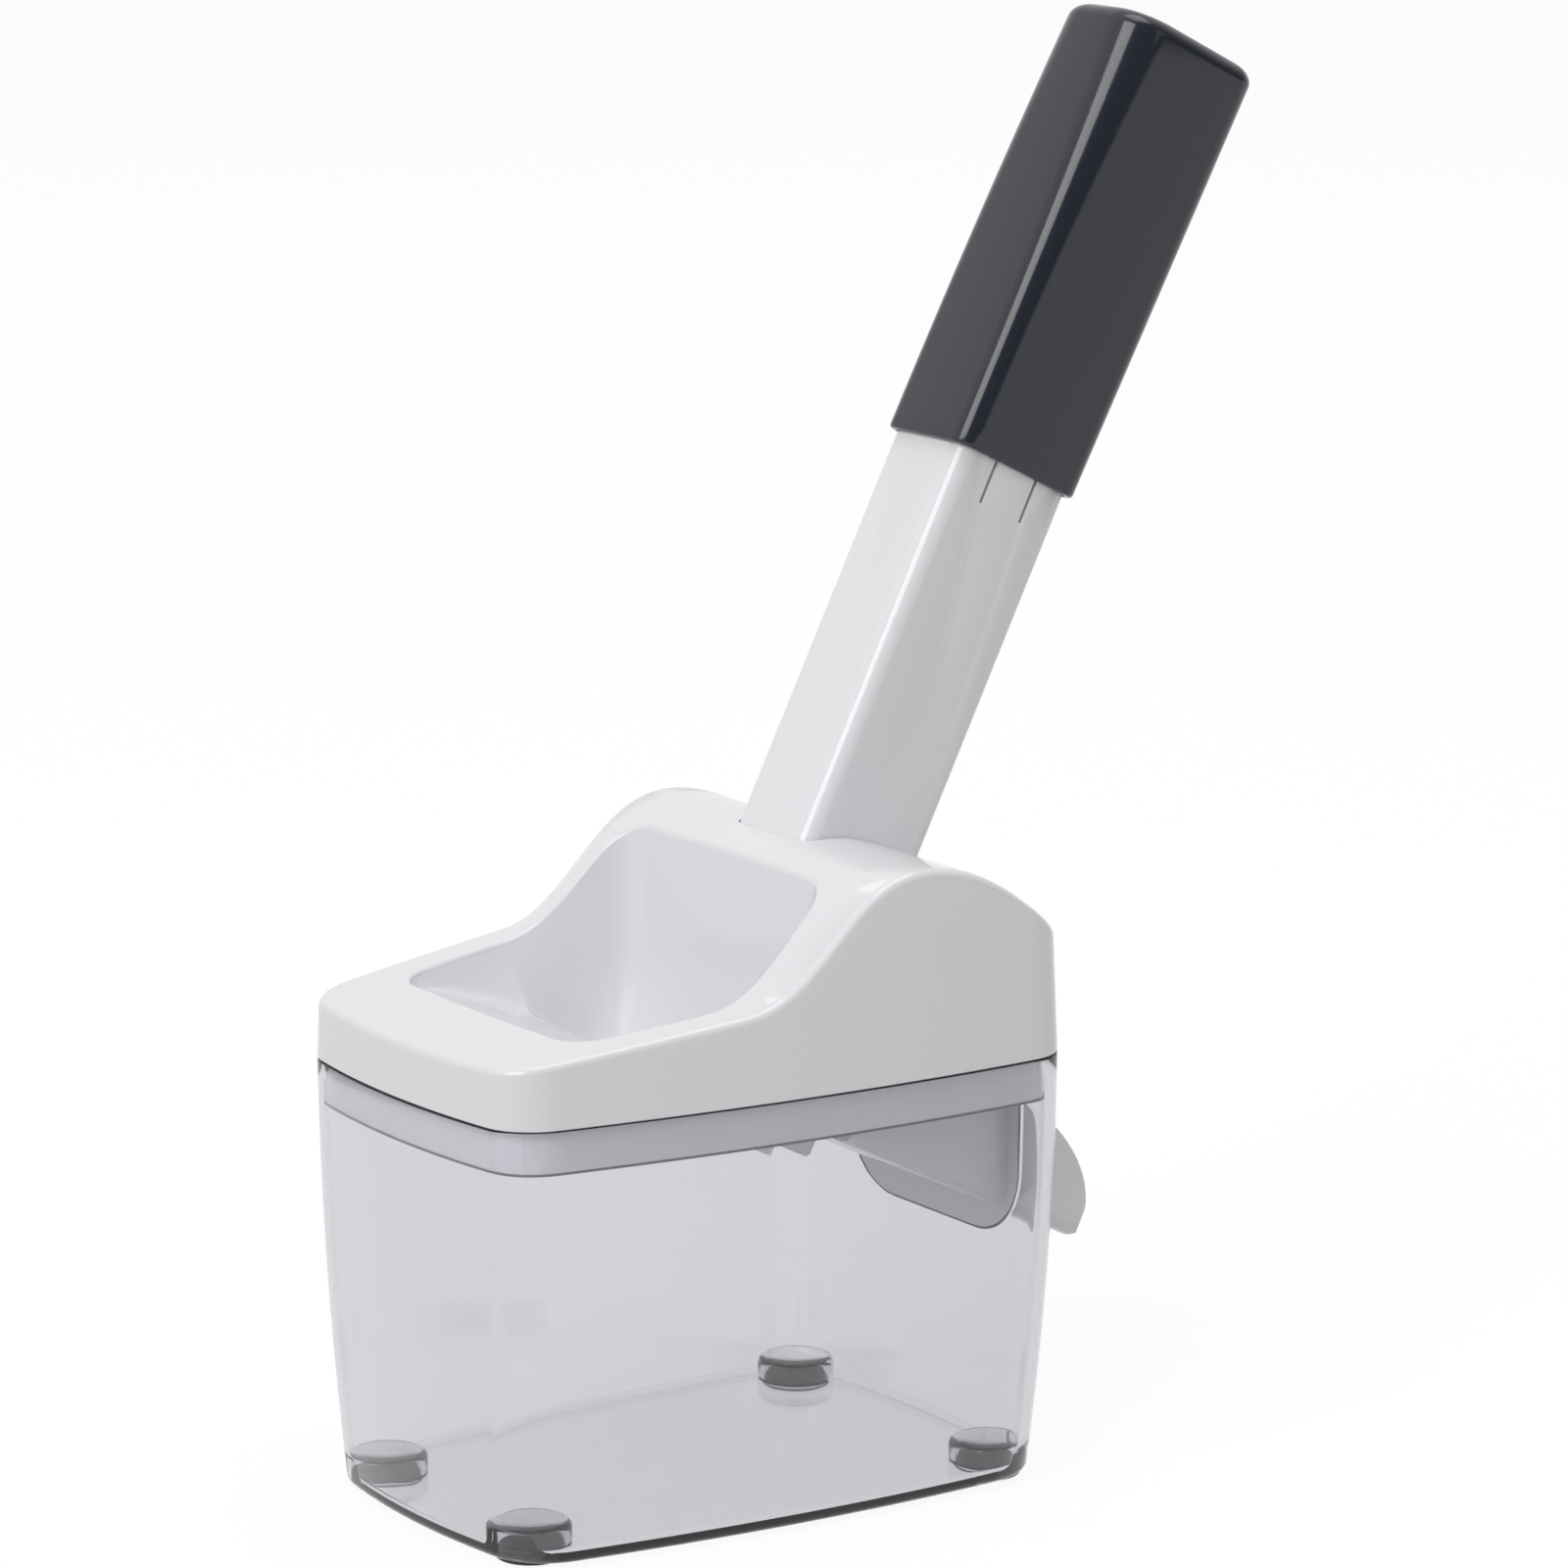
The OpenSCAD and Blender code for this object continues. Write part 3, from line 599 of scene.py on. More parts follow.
    @classmethod
    def drawn_metal(cls) -> Tree:
        """Drawn lines of a turned or pulled steel piece, along the plunger's axis.

        Returns:
            A group with Tone, Roughness and Height outputs.
        """
        tree, inp, out = cls.new_group(
            "Drawn metal", [("Lines", "NodeSocketFloat", 700.0), ("Roughness", "NodeSocketFloat", 0.25)],
            [("Tone", "NodeSocketFloat"), ("Roughness", "NodeSocketFloat"), ("Height", "NodeSocketFloat")])
        place = tree.nodes.new("ShaderNodeTexCoord").outputs["Object"]
        mapping = tree.nodes.new("ShaderNodeMapping")
        mapping.inputs["Rotation"].default_value = (0.0, -math.radians(SIZES.tilt), 0.0)
        mapping.inputs["Scale"].default_value = (1.0, 1.0, 0.03)
        tree.links.new(place, mapping.inputs["Vector"])
        lines = cls.noise(tree, mapping.outputs[0], inp.outputs["Lines"], 3.0, 0.65)
        centred = cls.math(tree, "SUBTRACT", lines, 0.5)
        rough = cls.math(tree, "MULTIPLY_ADD", centred, 0.25, inp.outputs["Roughness"])
        tree.links.new(lines, out.inputs["Tone"])
        tree.links.new(rough, out.inputs["Roughness"])
        tree.links.new(lines, out.inputs["Height"])
        return tree


@dataclass(frozen=True)
class Finish:
    """A finish: its colours at both ends of its tone, gloss and surface relief."""

    name: str
    dark: Colour
    light: Colour
    roughness: float
    spread: float = 0.06
    metallic: float = 0.0
    flow: float = 14.0
    grain: float = 900.0
    relief: float = 0.02
    relief_depth: float = 0.0004
    marks: float = 0.0
    dust: float = 0.0
    dust_share: float = 0.8
    dust_lift: float = 0.02
    drawn: bool = False
    transmission: float = 0.0
    ior: float = 1.5
    absorption: Colour | None = None
    density: float = 0.0
    pane: Colour = (0.9, 0.9, 0.91)

    def material(self, groups: dict[str, Tree]) -> bpy.types.Material:
        """Build the node material.

        Args:
            groups: the shared node groups by name.

        Returns:
            The material.
        """
        mat = bpy.data.materials.new(self.name)
        mat.use_nodes = True
        tree = mat.node_tree
        bsdf = tree.nodes["Principled BSDF"]
        bsdf.inputs["Metallic"].default_value = self.metallic
        bsdf.inputs["IOR"].default_value = self.ior
        bsdf.inputs["Transmission Weight"].default_value = self.transmission
        skin = tree.nodes.new("ShaderNodeGroup")
        skin.node_tree = groups["drawn" if self.drawn else "skin"]
        skin.inputs["Roughness"].default_value = self.roughness
        if not self.drawn:
            skin.inputs["Flow"].default_value = self.flow
            skin.inputs["Grain"].default_value = self.grain
            skin.inputs["Spread"].default_value = self.spread
        colour = tree.nodes.new("ShaderNodeMix")
        colour.data_type = "RGBA"
        colour.inputs["A"].default_value = (*self.dark, 1.0)
        colour.inputs["B"].default_value = (*self.light, 1.0)
        tree.links.new(skin.outputs["Tone"], colour.inputs["Factor"])
        base = colour.outputs["Result"]
        rough = skin.outputs["Roughness"]
        if self.marks or self.dust:
            base, rough = self.add_handling(tree, groups["handling"], base, rough)
        tree.links.new(base, bsdf.inputs["Base Color"])
        tree.links.new(rough, bsdf.inputs["Roughness"])
        bump = tree.nodes.new("ShaderNodeBump")
        bump.inputs["Strength"].default_value = self.relief
        bump.inputs["Distance"].default_value = self.relief_depth
        tree.links.new(skin.outputs["Height"], bump.inputs["Height"])
        tree.links.new(bump.outputs["Normal"], bsdf.inputs["Normal"])
        if self.transmission:
            self.let_light_in(tree, bsdf)
        if self.absorption:
            volume = tree.nodes.new("ShaderNodeVolumeAbsorption")
            volume.inputs["Color"].default_value = (*self.absorption, 1.0)
            volume.inputs["Density"].default_value = self.density
            tree.links.new(volume.outputs[0], tree.nodes["Material Output"].inputs["Volume"])
        return mat

    def let_light_in(self, tree: Tree, bsdf: Node) -> None:
        """Let the lamps' light pass a clear wall, so that what stands inside is lit.

        Args:
            tree: the material's tree.
            bsdf: its surface shader.
        """
        path = tree.nodes.new("ShaderNodeLightPath")
        pane = tree.nodes.new("ShaderNodeBsdfTransparent")
        pane.inputs["Color"].default_value = (*self.pane, 1.0)
        choice = tree.nodes.new("ShaderNodeMixShader")
        tree.links.new(path.outputs["Is Shadow Ray"], choice.inputs[0])
        tree.links.new(bsdf.outputs[0], choice.inputs[1])
        tree.links.new(pane.outputs[0], choice.inputs[2])
        tree.links.new(choice.outputs[0], tree.nodes["Material Output"].inputs["Surface"])

    def add_handling(self, tree: Tree, group: Tree, base: Socket,
                     rough: Socket) -> tuple[Socket, Socket]:
        """Lay wipe marks on the gloss and dust in the hollows.

        Args:
            tree: the material's tree.
            group: the handling group.
            base: the colour so far.
            rough: the roughness so far.

        Returns:
            The colour and the roughness with the traces.
        """
        use = tree.nodes.new("ShaderNodeGroup")
        use.node_tree = group
        rough = NodeGroups.math(tree, "MULTIPLY_ADD", use.outputs["Marks"], self.marks, rough)
        dusty = tree.nodes.new("ShaderNodeMix")
        dusty.data_type = "RGBA"
        grey = tuple(c * self.dust_share + self.dust_lift for c in self.dark)
        dusty.inputs["B"].default_value = (*grey, 1.0)
        amount = NodeGroups.math(tree, "MULTIPLY", use.outputs["Dust"], self.dust)
        tree.links.new(amount, dusty.inputs["Factor"])
        tree.links.new(base, dusty.inputs["A"])
        return dusty.outputs["Result"], rough


FINISHES: dict[Slot, Finish] = {
    Slot.CLEAR: Finish("Clear box plastic", (0.92, 0.918, 0.935), (0.94, 0.938, 0.955), 0.015, spread=0.012,
                       flow=9.0, relief=0.003, transmission=1.0, ior=1.53, absorption=(0.3, 0.29, 0.36),
                       density=105.0),
    Slot.WHITE: Finish("White moulded plastic", (0.79, 0.782, 0.81), (0.825, 0.817, 0.845), 0.09, marks=0.08,
                       dust=0.35, relief=0.006),
    Slot.DARK: Finish("Anthracite moulded plastic", (0.0175, 0.0205, 0.031), (0.0215, 0.025, 0.038), 0.13,
                      marks=0.15, dust=0.2, relief=0.006),
    Slot.BUSH: Finish("Bush plastic", (0.70, 0.68, 0.62), (0.76, 0.74, 0.68), 0.5, relief=0.03),
    Slot.FOOT: Finish("Foot rubber", (0.018, 0.018, 0.02), (0.032, 0.032, 0.035), 0.6, spread=0.15,
                      grain=1400.0, relief=0.08, dust=0.5),
    Slot.SEAT: Finish("Ring rubber", (0.16, 0.165, 0.175), (0.2, 0.205, 0.215), 0.55, spread=0.12,
                      grain=1400.0, relief=0.06),
    Slot.STEEL: Finish("Drawn stainless steel", (0.50, 0.50, 0.505), (0.66, 0.66, 0.665), 0.24, metallic=1.0,
                       relief=0.05, drawn=True),
}


class Dresser:
    """Gives each piece its finish, its body and the nodes that it stands for."""

    def __init__(self) -> None:
        """Build the shared groups and the finishes."""
        groups = {"skin": NodeGroups.moulded_skin(), "handling": NodeGroups.handling(),
                  "drawn": NodeGroups.drawn_metal()}
        self.materials = {slot: finish.material(groups) for slot, finish in FINISHES.items()}

    def dress(self, obj: Obj, slot: Slot, body: Body, *nodes: str) -> None:
        """Finish a piece and hang it on its body.

        Args:
            obj: the piece.
            slot: its material slot.
            body: the body that it moves with.
            nodes: the nodes that it replaces.
        """
        obj.data.materials.clear()
        obj.data.materials.append(self.materials[slot])
        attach(obj, body.value)
        if nodes:
            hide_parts(*nodes)
        LOG.info("%s: %d faces on %s", obj.name, len(obj.data.polygons), body.value)


@dataclass
class StoneBox:
    """Clear box with its notch, foot cups and feet."""

    floor: float = 2.0
    base_z: float = 0.8
    base_round: float = 2.0
    inner_round: float = 1.6
    rim_round: float = 0.25
    draw_in: float = 3.6
    base_corner_r: float = 13.6
    floor_strip: float = 3.0
    foot_d: float = 14.0
    foot_x: float = 51.3
    foot_y: float = 29.8
    stem_d: float = 13.4
    stem_round: float = 0.6
    pad_t: float = 1.6
    pad_edge: float = 0.1
    tread_round: float = 0.5
    tread_depth: float = 0.25
    tread_in: tuple[float, ...] = (0.25, 0.55, 0.62)
    cup_h: float = 6.6
    cup_wall: float = 0.9
    cup_round: float = 1.3
    cup_crown: tuple[Flat, ...] = ((0.6, 0.15), (0.2, 0.2))
    plug_h: float = 2.8
    pad_gap: float = 0.1
    stem_gap: float = 0.02
    levels: int = 18
    feet: list[tuple[str, int, int]] = field(default_factory=lambda: [
        ("front_near", -1, -1), ("front_far", -1, 1), ("rear_near", 1, -1), ("rear_far", 1, 1)])

    def ring(self, z: float, inset: float) -> Ring:
        """Ring of the box's wall.

        Args:
            z: height above the table.
            inset: how far the ring is drawn in from the outside.

        Returns:
            The ring.
        """
        d = 2 * self.draw_in * ((SIZES.rim_z - z) / SIZES.rim_z) ** 2
        r = mix(self.base_corner_r, SIZES.corner_r, z / SIZES.rim_z)
        outline = BowedOutline(SIZES.rim_l - d, SIZES.rim_w - d, SIZES.side_bow, SIZES.end_bow, r)
        return [(x, y, z) for x, y in outline.ring(inset)]

    def foot_centre(self, sx: int, sy: int) -> Flat:
        """Middle of a foot."""
        return sx * self.foot_x, sy * (self.foot_y + sx * self.foot_x * SIZES.taper * SIZES.rim_w / 2)

    def lathe(self, name: str, profile: Sequence[Flat], sx: int, sy: int, n: int = 64) -> Obj:
        """Turn a profile about a foot's middle.

        Args:
            name: the object's name.
            profile: radius and height of each ring.
            sx: -1 for a front foot, 1 for a rear one.
            sy: -1 for a near foot, 1 for a far one.
            n: points of each ring.

        Returns:
            The turned object.
        """
        cx, cy = self.foot_centre(sx, sy)
        turns = [2 * math.pi * k / n for k in range(n)]
        rings = [[(cx + r * math.cos(a), cy + r * math.sin(a), z) for a in turns] for r, z in profile]
        return MeshKit.loft(name, rings)

    def shell(self) -> Obj:
        """The box's wall and floor, rounded at its base, at its rim and inside.

        Returns:
            The box without its notch and cups.
        """
        top, wall, steps = SIZES.rim_z - self.rim_round, SIZES.box_wall, range(1, self.levels + 1)
        inner_z = self.base_z + self.floor
        low, inner_low = self.base_z + self.base_round, inner_z + self.inner_round
        rings = [self.ring(self.base_z, self.base_round + self.floor_strip)]
        rings += [self.ring(self.base_z + u, v) for u, v in rounding(self.base_round, 6)]
        rings += [self.ring(mix(low, top, k / self.levels), 0) for k in steps]
        rings += [self.ring(SIZES.rim_z - v, u) for u, v in rounding(self.rim_round, 4)[1:]]
        rings += [self.ring(SIZES.rim_z - u, wall - v) for u, v in rounding(self.rim_round, 4)]
        rings += [self.ring(mix(top, inner_low, k / self.levels), wall) for k in steps]
        rings += [self.ring(inner_z + v, wall + u) for u, v in rounding(self.inner_round, 6)[1:]]
        rings += [self.ring(inner_z, wall + self.inner_round + self.floor_strip)]
        return MeshKit.loft("box_clear", rings)

    def cup(self, sx: int, sy: int) -> Obj:
        """A foot's cup: a low round stud with a rounded top.

        Args:
            sx: -1 for a front foot, 1 for a rear one.
            sy: -1 for a near foot, 1 for a far one.

        Returns:
            The stud.
        """
        r, top = self.foot_d / 2 + self.cup_wall, self.base_z + self.cup_h
        profile = [(r, self.base_z + self.floor / 2)]
        profile += [(r - u, top - v) for u, v in rounding(self.cup_round, 5)]
        profile += [(share * r, top + rise) for share, rise in self.cup_crown]
        return self.lathe("cup", profile, sx, sy)

    def hole(self, sx: int, sy: int) -> Obj:
        """The room for a foot in the box's floor and in its cup.

        Args:
            sx: -1 for a front foot, 1 for a rear one.
            sy: -1 for a near foot, 1 for a far one.

        Returns:
            A tool to cut with.
        """
        r, rs = self.foot_d / 2 + self.pad_gap, self.stem_d / 2 + self.stem_gap
        shoulder = self.base_z + self.pad_t + self.stem_gap
        top = self.base_z + self.cup_h - self.cup_wall
        return self.lathe("hole", [(r, -1.0), (r, shoulder), (rs, shoulder), (rs, top)], sx, sy)

    def foot(self, label: str, sx: int, sy: int) -> Obj:
        """A rubber foot: a pad with a rounded tread and a stem in the cup.

        Args:
            label: the foot's place.
            sx: -1 for a front foot, 1 for a rear one.
            sy: -1 for a near foot, 1 for a far one.

        Returns:
            The foot.
        """
        r, rs, edge = self.foot_d / 2, self.stem_d / 2, self.pad_edge
        shoulder, top = self.base_z + self.pad_t, self.base_z + self.plug_h
        hollow, rise, tread = (share * r for share in self.tread_in)
        profile = [(hollow, self.tread_depth), (rise, self.tread_depth), (tread, 0.0)]
        profile += [(r - v, u) for u, v in rounding(self.tread_round, 4)]
        profile += [(r, shoulder - edge), (r - edge, shoulder), (rs, shoulder)]
        profile += [(rs - u, top - v) for u, v in rounding(self.stem_round, 4)]
        return self.lathe(f"foot_{label}_rubber", profile, sx, sy)

    def build(self, dresser: Dresser) -> None:
        """Make the box and its feet.

        Args:
            dresser: gives the pieces their finish and body.
        """
        box = self.shell()
        half, r = SIZES.notch_w / 2, SIZES.notch_r
        notch = corner_rect(-half, half, 2 * SIZES.notch_depth, r, r, 14)
        cutter = MeshKit.prism("notch", notch, lambda u, v, x: (x, u, SIZES.rim_z + v),
                               SIZES.rim_l / 4, SIZES.rim_l)
        MeshKit.combine(box, cutter, Cut.DIFFERENCE)
        for _, sx, sy in self.feet:
            MeshKit.combine(box, self.cup(sx, sy), Cut.UNION)
        for _, sx, sy in self.feet:
            MeshKit.combine(box, self.hole(sx, sy), Cut.DIFFERENCE)
        MeshKit.smooth(box, 38.0)
        dresser.dress(box, Slot.CLEAR, Body.BOX, "container")
        for label, sx, sy in self.feet:
            foot = self.foot(label, sx, sy)
            MeshKit.smooth(foot, 40.0)
            dresser.dress(foot, Slot.FOOT, Body.BOX, f"foot_{label}")


@dataclass
class Cover:
    """White cover: hopper basin in front, hump behind."""

    wall: float = 2.2
    lip_h: float = 13.0
    crest_h: float = 41.4
    edge_r: float = 1.8
    lean: float = 0.04
    hopper_l: float = 57.6
    hopper_w: float = 74.0
    hopper_r: float = 8.0
    front_band: float = 20.7
    seam: float = 0.3
    hopper_bow: float = 3.0
    hopper_end_bow: float = 0.8
    basin_r: float = 13.0
    draft: float = 5.0
    draft_depth: float = 14.0
    basin_round: float = 5.5
    blend: float = 7.0
    rim_round: float = 1.0
    lip_slope: float = 0.11
    lip_start: float = 11.0
    crest_r: float = 32.0
    crest_behind: float = 13.9
    swell_start: float = 45.5
    swell_end: float = 1.5
    fall_l: float = 24.0
    shift: float = 4.0
    front_step: float = 1.5
    floor_start: float = 4.0
    floor_fall: float = 0.17
    floor_low: float = -7.62
    floor_soft: float = 3.0
    least_depth: float = 0.3
    seat_edge_x: float = -1.25
    seat_front: float = -12.6
    mouth_top: float = -0.4
    mouth_w: float = 28.0
    mouth_r: float = 10.0
    mouth_h: float = 60.0
    mouth_end: float = 47.0
    hole_from: float = 30.0
    hole_to: float = 98.0
    slip: float = 0.3
    seam_edge: float = 0.15
    under_band: float = 1.5
    under_lip: float = 0.3
    under_gap: float = 0.4
    under_floor: tuple[float, ...] = (0.06, 0.3, 0.55, 0.8)
    under_wall: tuple[float, ...] = (1.0, 0.7, 0.45, 0.2)
    under_levels: int = 6
    wall_levels: int = 8
    band_levels: int = 26
    basin_levels: int = 72
    basin_crowding: float = 1.6
    floor_levels: int = 48
    floor_reach: float = 0.94

    def __post_init__(self) -> None:
        """Lay out the two outlines and the places along X."""
        self.front_x = self.front_band - SIZES.rim_l / 2
        self.back_x = self.front_x + self.hopper_l
        self.crest_x = self.back_x + self.crest_behind
        self.lip_x = self.lip_start - SIZES.rim_l / 2
        self.swell_x = (self.crest_x - self.swell_start, self.crest_x - self.swell_end)
        run = self.seat_edge_x - self.front_x - self.floor_start
        drop = self.lip_h - self.front_step - self.floor_low
        self.fall = drop / run
        self.curve = (drop - self.floor_fall * run) / (run * run)
        self.rim = rim_outline()
        self.mid_x = (self.front_x + self.back_x) / 2
        self.hopper = BowedOutline(self.hopper_l, self.hopper_w, self.hopper_bow, self.hopper_end_bow,
                                   self.hopper_r, shift=self.mid_x)
        self.full = self.draft + self.basin_round
        self.basin = BowedOutline(self.hopper_l - 2 * self.full, self.hopper_w - 2 * self.full,
                                  self.hopper_bow, self.hopper_end_bow, self.basin_r, shift=self.mid_x)

    def top_z(self, x: float, t: float) -> float:
        """Height of the top above the rim.

        Args:
            x: place along the part.
            t: 0 at the hopper's edge, 1 at the outer edge.

        Returns:
            The height in millimetres.
        """
        front = self.lip_h + self.lip_slope * (x - self.lip_x)
        d = max(0.0, x - self.crest_x)
        c = min(d, self.fall_l)
        rear = self.crest_h - c * c / (2 * self.crest_r) - (d - c) * self.fall_l / self.crest_r
        x0, x1 = self.swell_x
        return mix(front, rear, swell(clamp01((x - x0 - self.shift * t * t) / (x1 - x0))))

    def floor_z(self, x: float) -> float:
        """Height of the hopper's floor above the rim, with a soft bend where it turns level.

        Args:
            x: place along the part.

        Returns:
            The height in millimetres.
        """
        u = x - self.front_x - self.floor_start
        line = self.lip_h - self.front_step - u * (self.floor_fall + self.curve * u)
        gap = line - self.floor_low
        return self.floor_low + (gap + math.sqrt(gap * gap + self.floor_soft)) / 2

    def lift(self, ring: Iterable[Point]) -> Ring:
        """Raise a ring from the rim's level to the table's."""
        return [(x, y, SIZES.rim_z + z) for x, y, z in ring]

    def edge(self, turn: float, inset: float, drop: float) -> Ring:
        """Ring on the outer wall's rounded upper edge.

        Args:
            turn: angle on the rounding, 0 at the wall and a quarter turn at the top.
            inset: how far the ring is drawn in.
            drop: how far it is lowered.

        Returns:
            The ring, above the rim.
        """
        out = []
        for i in range(len(self.rim)):
            h = self.top_z(self.rim.point(i, 0)[0], 1) - self.edge_r
            x, y = self.rim.point(i, inset + self.lean * h + self.edge_r * (1 - math.cos(turn)))
            out.append((x, y, self.top_z(x, 1) - self.edge_r * (1 - math.sin(turn)) - drop))
        return out

    def wall_ring(self, t: float) -> Ring:
        """Ring on the outer wall.

        Args:
            t: 0 at the seam, 1 at the rounded edge.

        Returns:
            The ring, above the rim.
        """
        out = []
        for i in range(len(self.rim)):
            h = self.top_z(self.rim.point(i, 0)[0], 1) - self.edge_r
            x, y = self.rim.point(i, self.lean * h * t)
            out.append((x, y, mix(self.seam, self.top_z(x, 1) - self.edge_r, t)))
        return out

    def band(self, t: float, out_by: float, inset: float, drop: float) -> Ring:
        """Ring on the band between the hopper's edge and the outer edge.

        Args:
            t: 0 at the hopper's edge, 1 at the outer edge.
            out_by: how far the hopper's edge is moved out.
            inset: how far the outer edge is drawn in.
            drop: how far the ring is lowered.

        Returns:
            The ring, above the rim.
        """
        outer = self.edge(math.pi / 2, inset, 0)
        ring = []
        for i, (ax, ay, _) in enumerate(outer):
            bx, by = self.hopper.point(i, -out_by)
            x, y = mix(bx, ax, t), mix(by, ay, t)
            ring.append((x, y, self.top_z(x, t) - drop))
        return ring

    def lip_ring(self, turn: float) -> Ring:
        """Ring on the rounded edge between the band and the basin.

        Args:
            turn: angle on the rounding, 0 at the band and a quarter turn at the basin.

        Returns:
            The ring, above the rim.
        """
        r = self.rim_round
        return [(x, y, self.top_z(x, 0) - r * (1 - math.cos(turn)))
                for x, y in self.hopper.ring(-r * (1 - math.sin(turn)))]

    def basin_point(self, i: int, inset: float) -> Flat:
        """Point of the basin's plan, whose corners turn rounder as it draws in.

        Args:
            i: number of the point round the outline.
            inset: how far the plan is drawn in from the hopper's edge.

        Returns:
            Its X and Y.
        """
        if inset <= 0:
            return self.hopper.point(i, inset)
        a, b, t = self.hopper.point(i, 0), self.basin.point(i, 0), inset / self.full
        return mix(a[0], b[0], t), mix(a[1], b[1], t)

    def basin_ring(self, inset: float, drop: float = 0.0, extra: float = 0.0) -> Ring:
        """Ring on the basin's wall, which blends into the floor.

        Args:
            inset: how far the ring is drawn in from the hopper's edge.
            drop: how far it is lowered.
            extra: how far it is moved out again, for the underside.

        Returns:
            The ring, above the rim.
        """
        ring = []
        for i in range(len(self.hopper)):
            x0 = self.hopper.point(i, 0)[0]
            top = self.top_z(x0, 0) - self.rim_round
            depth = max(self.least_depth, top - self.floor_z(x0))
            soft = min(self.blend, depth / 2)
            wall = top - inset * max(self.draft_depth, depth) / self.draft
            x, y = self.basin_point(i, inset)
            floor = min(self.floor_z(x), top - self.least_depth)
            z = (wall + floor + math.hypot(wall - floor, soft)) / 2
            z -= (math.hypot(depth, soft) - depth) / 2 * (1 - inset / self.full)
            x, y = self.basin_point(i, inset - extra)
            ring.append((x, y, z - drop))
        return ring

    def floor_ring(self, share: float, drop: float) -> Ring:
        """Ring on the basin's floor.

        Args:
            share: size of the ring as a share of the wall's lowest ring.
            drop: how far it is lowered.

        Returns:
            The ring, above the rim.
        """
        ring = []
        for x, y, z in self.basin_ring(self.full):
            fx = mix(self.mid_x, x, share)
            ring.append((fx, y * share, self.floor_z(fx) + (z - self.floor_z(x)) * share ** 4 - drop))
        return ring

    def shell(self) -> Obj:
        """The cover's closed skin, from the underside round the seam to the basin's floor.

        Returns:
            The cover without its openings.
        """
        w, fine, r = self.wall, self.basin_levels, self.rim_round
        deep = w * math.sqrt(1 + self.fall * self.fall)
        rings = [self.floor_ring(s, deep) for s in self.under_floor]
        rings += [self.basin_ring(self.full * t, mix(w * self.under_lip, deep, t), w)
                  for t in self.under_wall]
        rings += [self.band(k / self.under_levels, w + self.under_gap, w, self.under_band * w)
                  for k in range(self.under_levels + 1)]
        rings += [self.edge(0, w, self.edge_r)]
        for inset, rise in ((w, 0.0), (self.seam_edge, 0.0), (0.0, self.seam_edge)):
            rings.append([(x, y, self.seam + rise) for x, y in self.rim.ring(inset)])
        rings += [self.wall_ring(k / self.wall_levels) for k in range(1, self.wall_levels)]
        rings += [self.edge(a, 0, 0) for a in arc_steps(7)]
        rings += [self.band(k / self.band_levels, r, 0, 0) for k in reversed(range(self.band_levels))]
        rings += [self.lip_ring(a) for a in arc_steps(6)[1:]]
        rings += [self.basin_ring(self.full * (k / fine) ** self.basin_crowding) for k in range(1, fine + 1)]
        rings += [self.floor_ring(1 - self.floor_reach * k / self.floor_levels, 0)
                  for k in range(1, self.floor_levels + 1)]
        return MeshKit.loft("cover_white", [self.lift(r) for r in rings])

    def build(self, dresser: Dresser) -> None:
        """Make the cover with the tube's hole and the fruit's mouth.

        Args:
            dresser: gives the piece its finish and body.
        """
        cover = self.shell()
        half, r = SIZES.tube_d / 2 + self.slip, SIZES.tube_r + self.slip
        hole = corner_rect(-half, half, SIZES.tube_w + 2 * self.slip, r, r)
        tool = MeshKit.prism("hole", hole, SIZES.on_axis, self.hole_from, self.hole_to)
        MeshKit.combine(cover, tool, Cut.DIFFERENCE)
        half, r, middle = self.mouth_w / 2, self.mouth_r, self.mouth_top - self.mouth_h / 2
        arch = corner_rect(-half, half, self.mouth_h, r, r)
        tool = MeshKit.prism("arch", arch, lambda u, v, n: SIZES.on_axis(n, u, middle + v),
                             self.seat_front - self.slip, self.mouth_end)
        MeshKit.combine(cover, tool, Cut.DIFFERENCE)
        MeshKit.smooth(cover, 34.0)
        dresser.dress(cover, Slot.WHITE, Body.TOP, "top_cover")


@dataclass
class TopInside:
    """Frame, seat and tube under and through the cover: node, slot and edge rounding of each."""

    pieces: tuple[tuple[str, Slot, float], ...] = (
        ("inner_frame", Slot.WHITE, 0.0), ("seat_ring", Slot.SEAT, 0.12), ("seat_clamp", Slot.WHITE, 0.2),
        ("guide_tube", Slot.WHITE, 0.15), ("tube_screws", Slot.STEEL, 0.2),
        ("stripper_plate", Slot.WHITE, 0.25), ("rod_bush", Slot.BUSH, 0.2))

    def build(self, dresser: Dresser) -> None:
        """Make the pieces that move with the top.

        Args:
            dresser: gives the pieces their finish and body.
        """
        for node, slot, width in self.pieces:
            name = node.replace("seat", "fruit")
            piece = MeshKit.copy_node(node, f"{name}_piece", width)
            dresser.dress(piece, slot, Body.TOP, node)


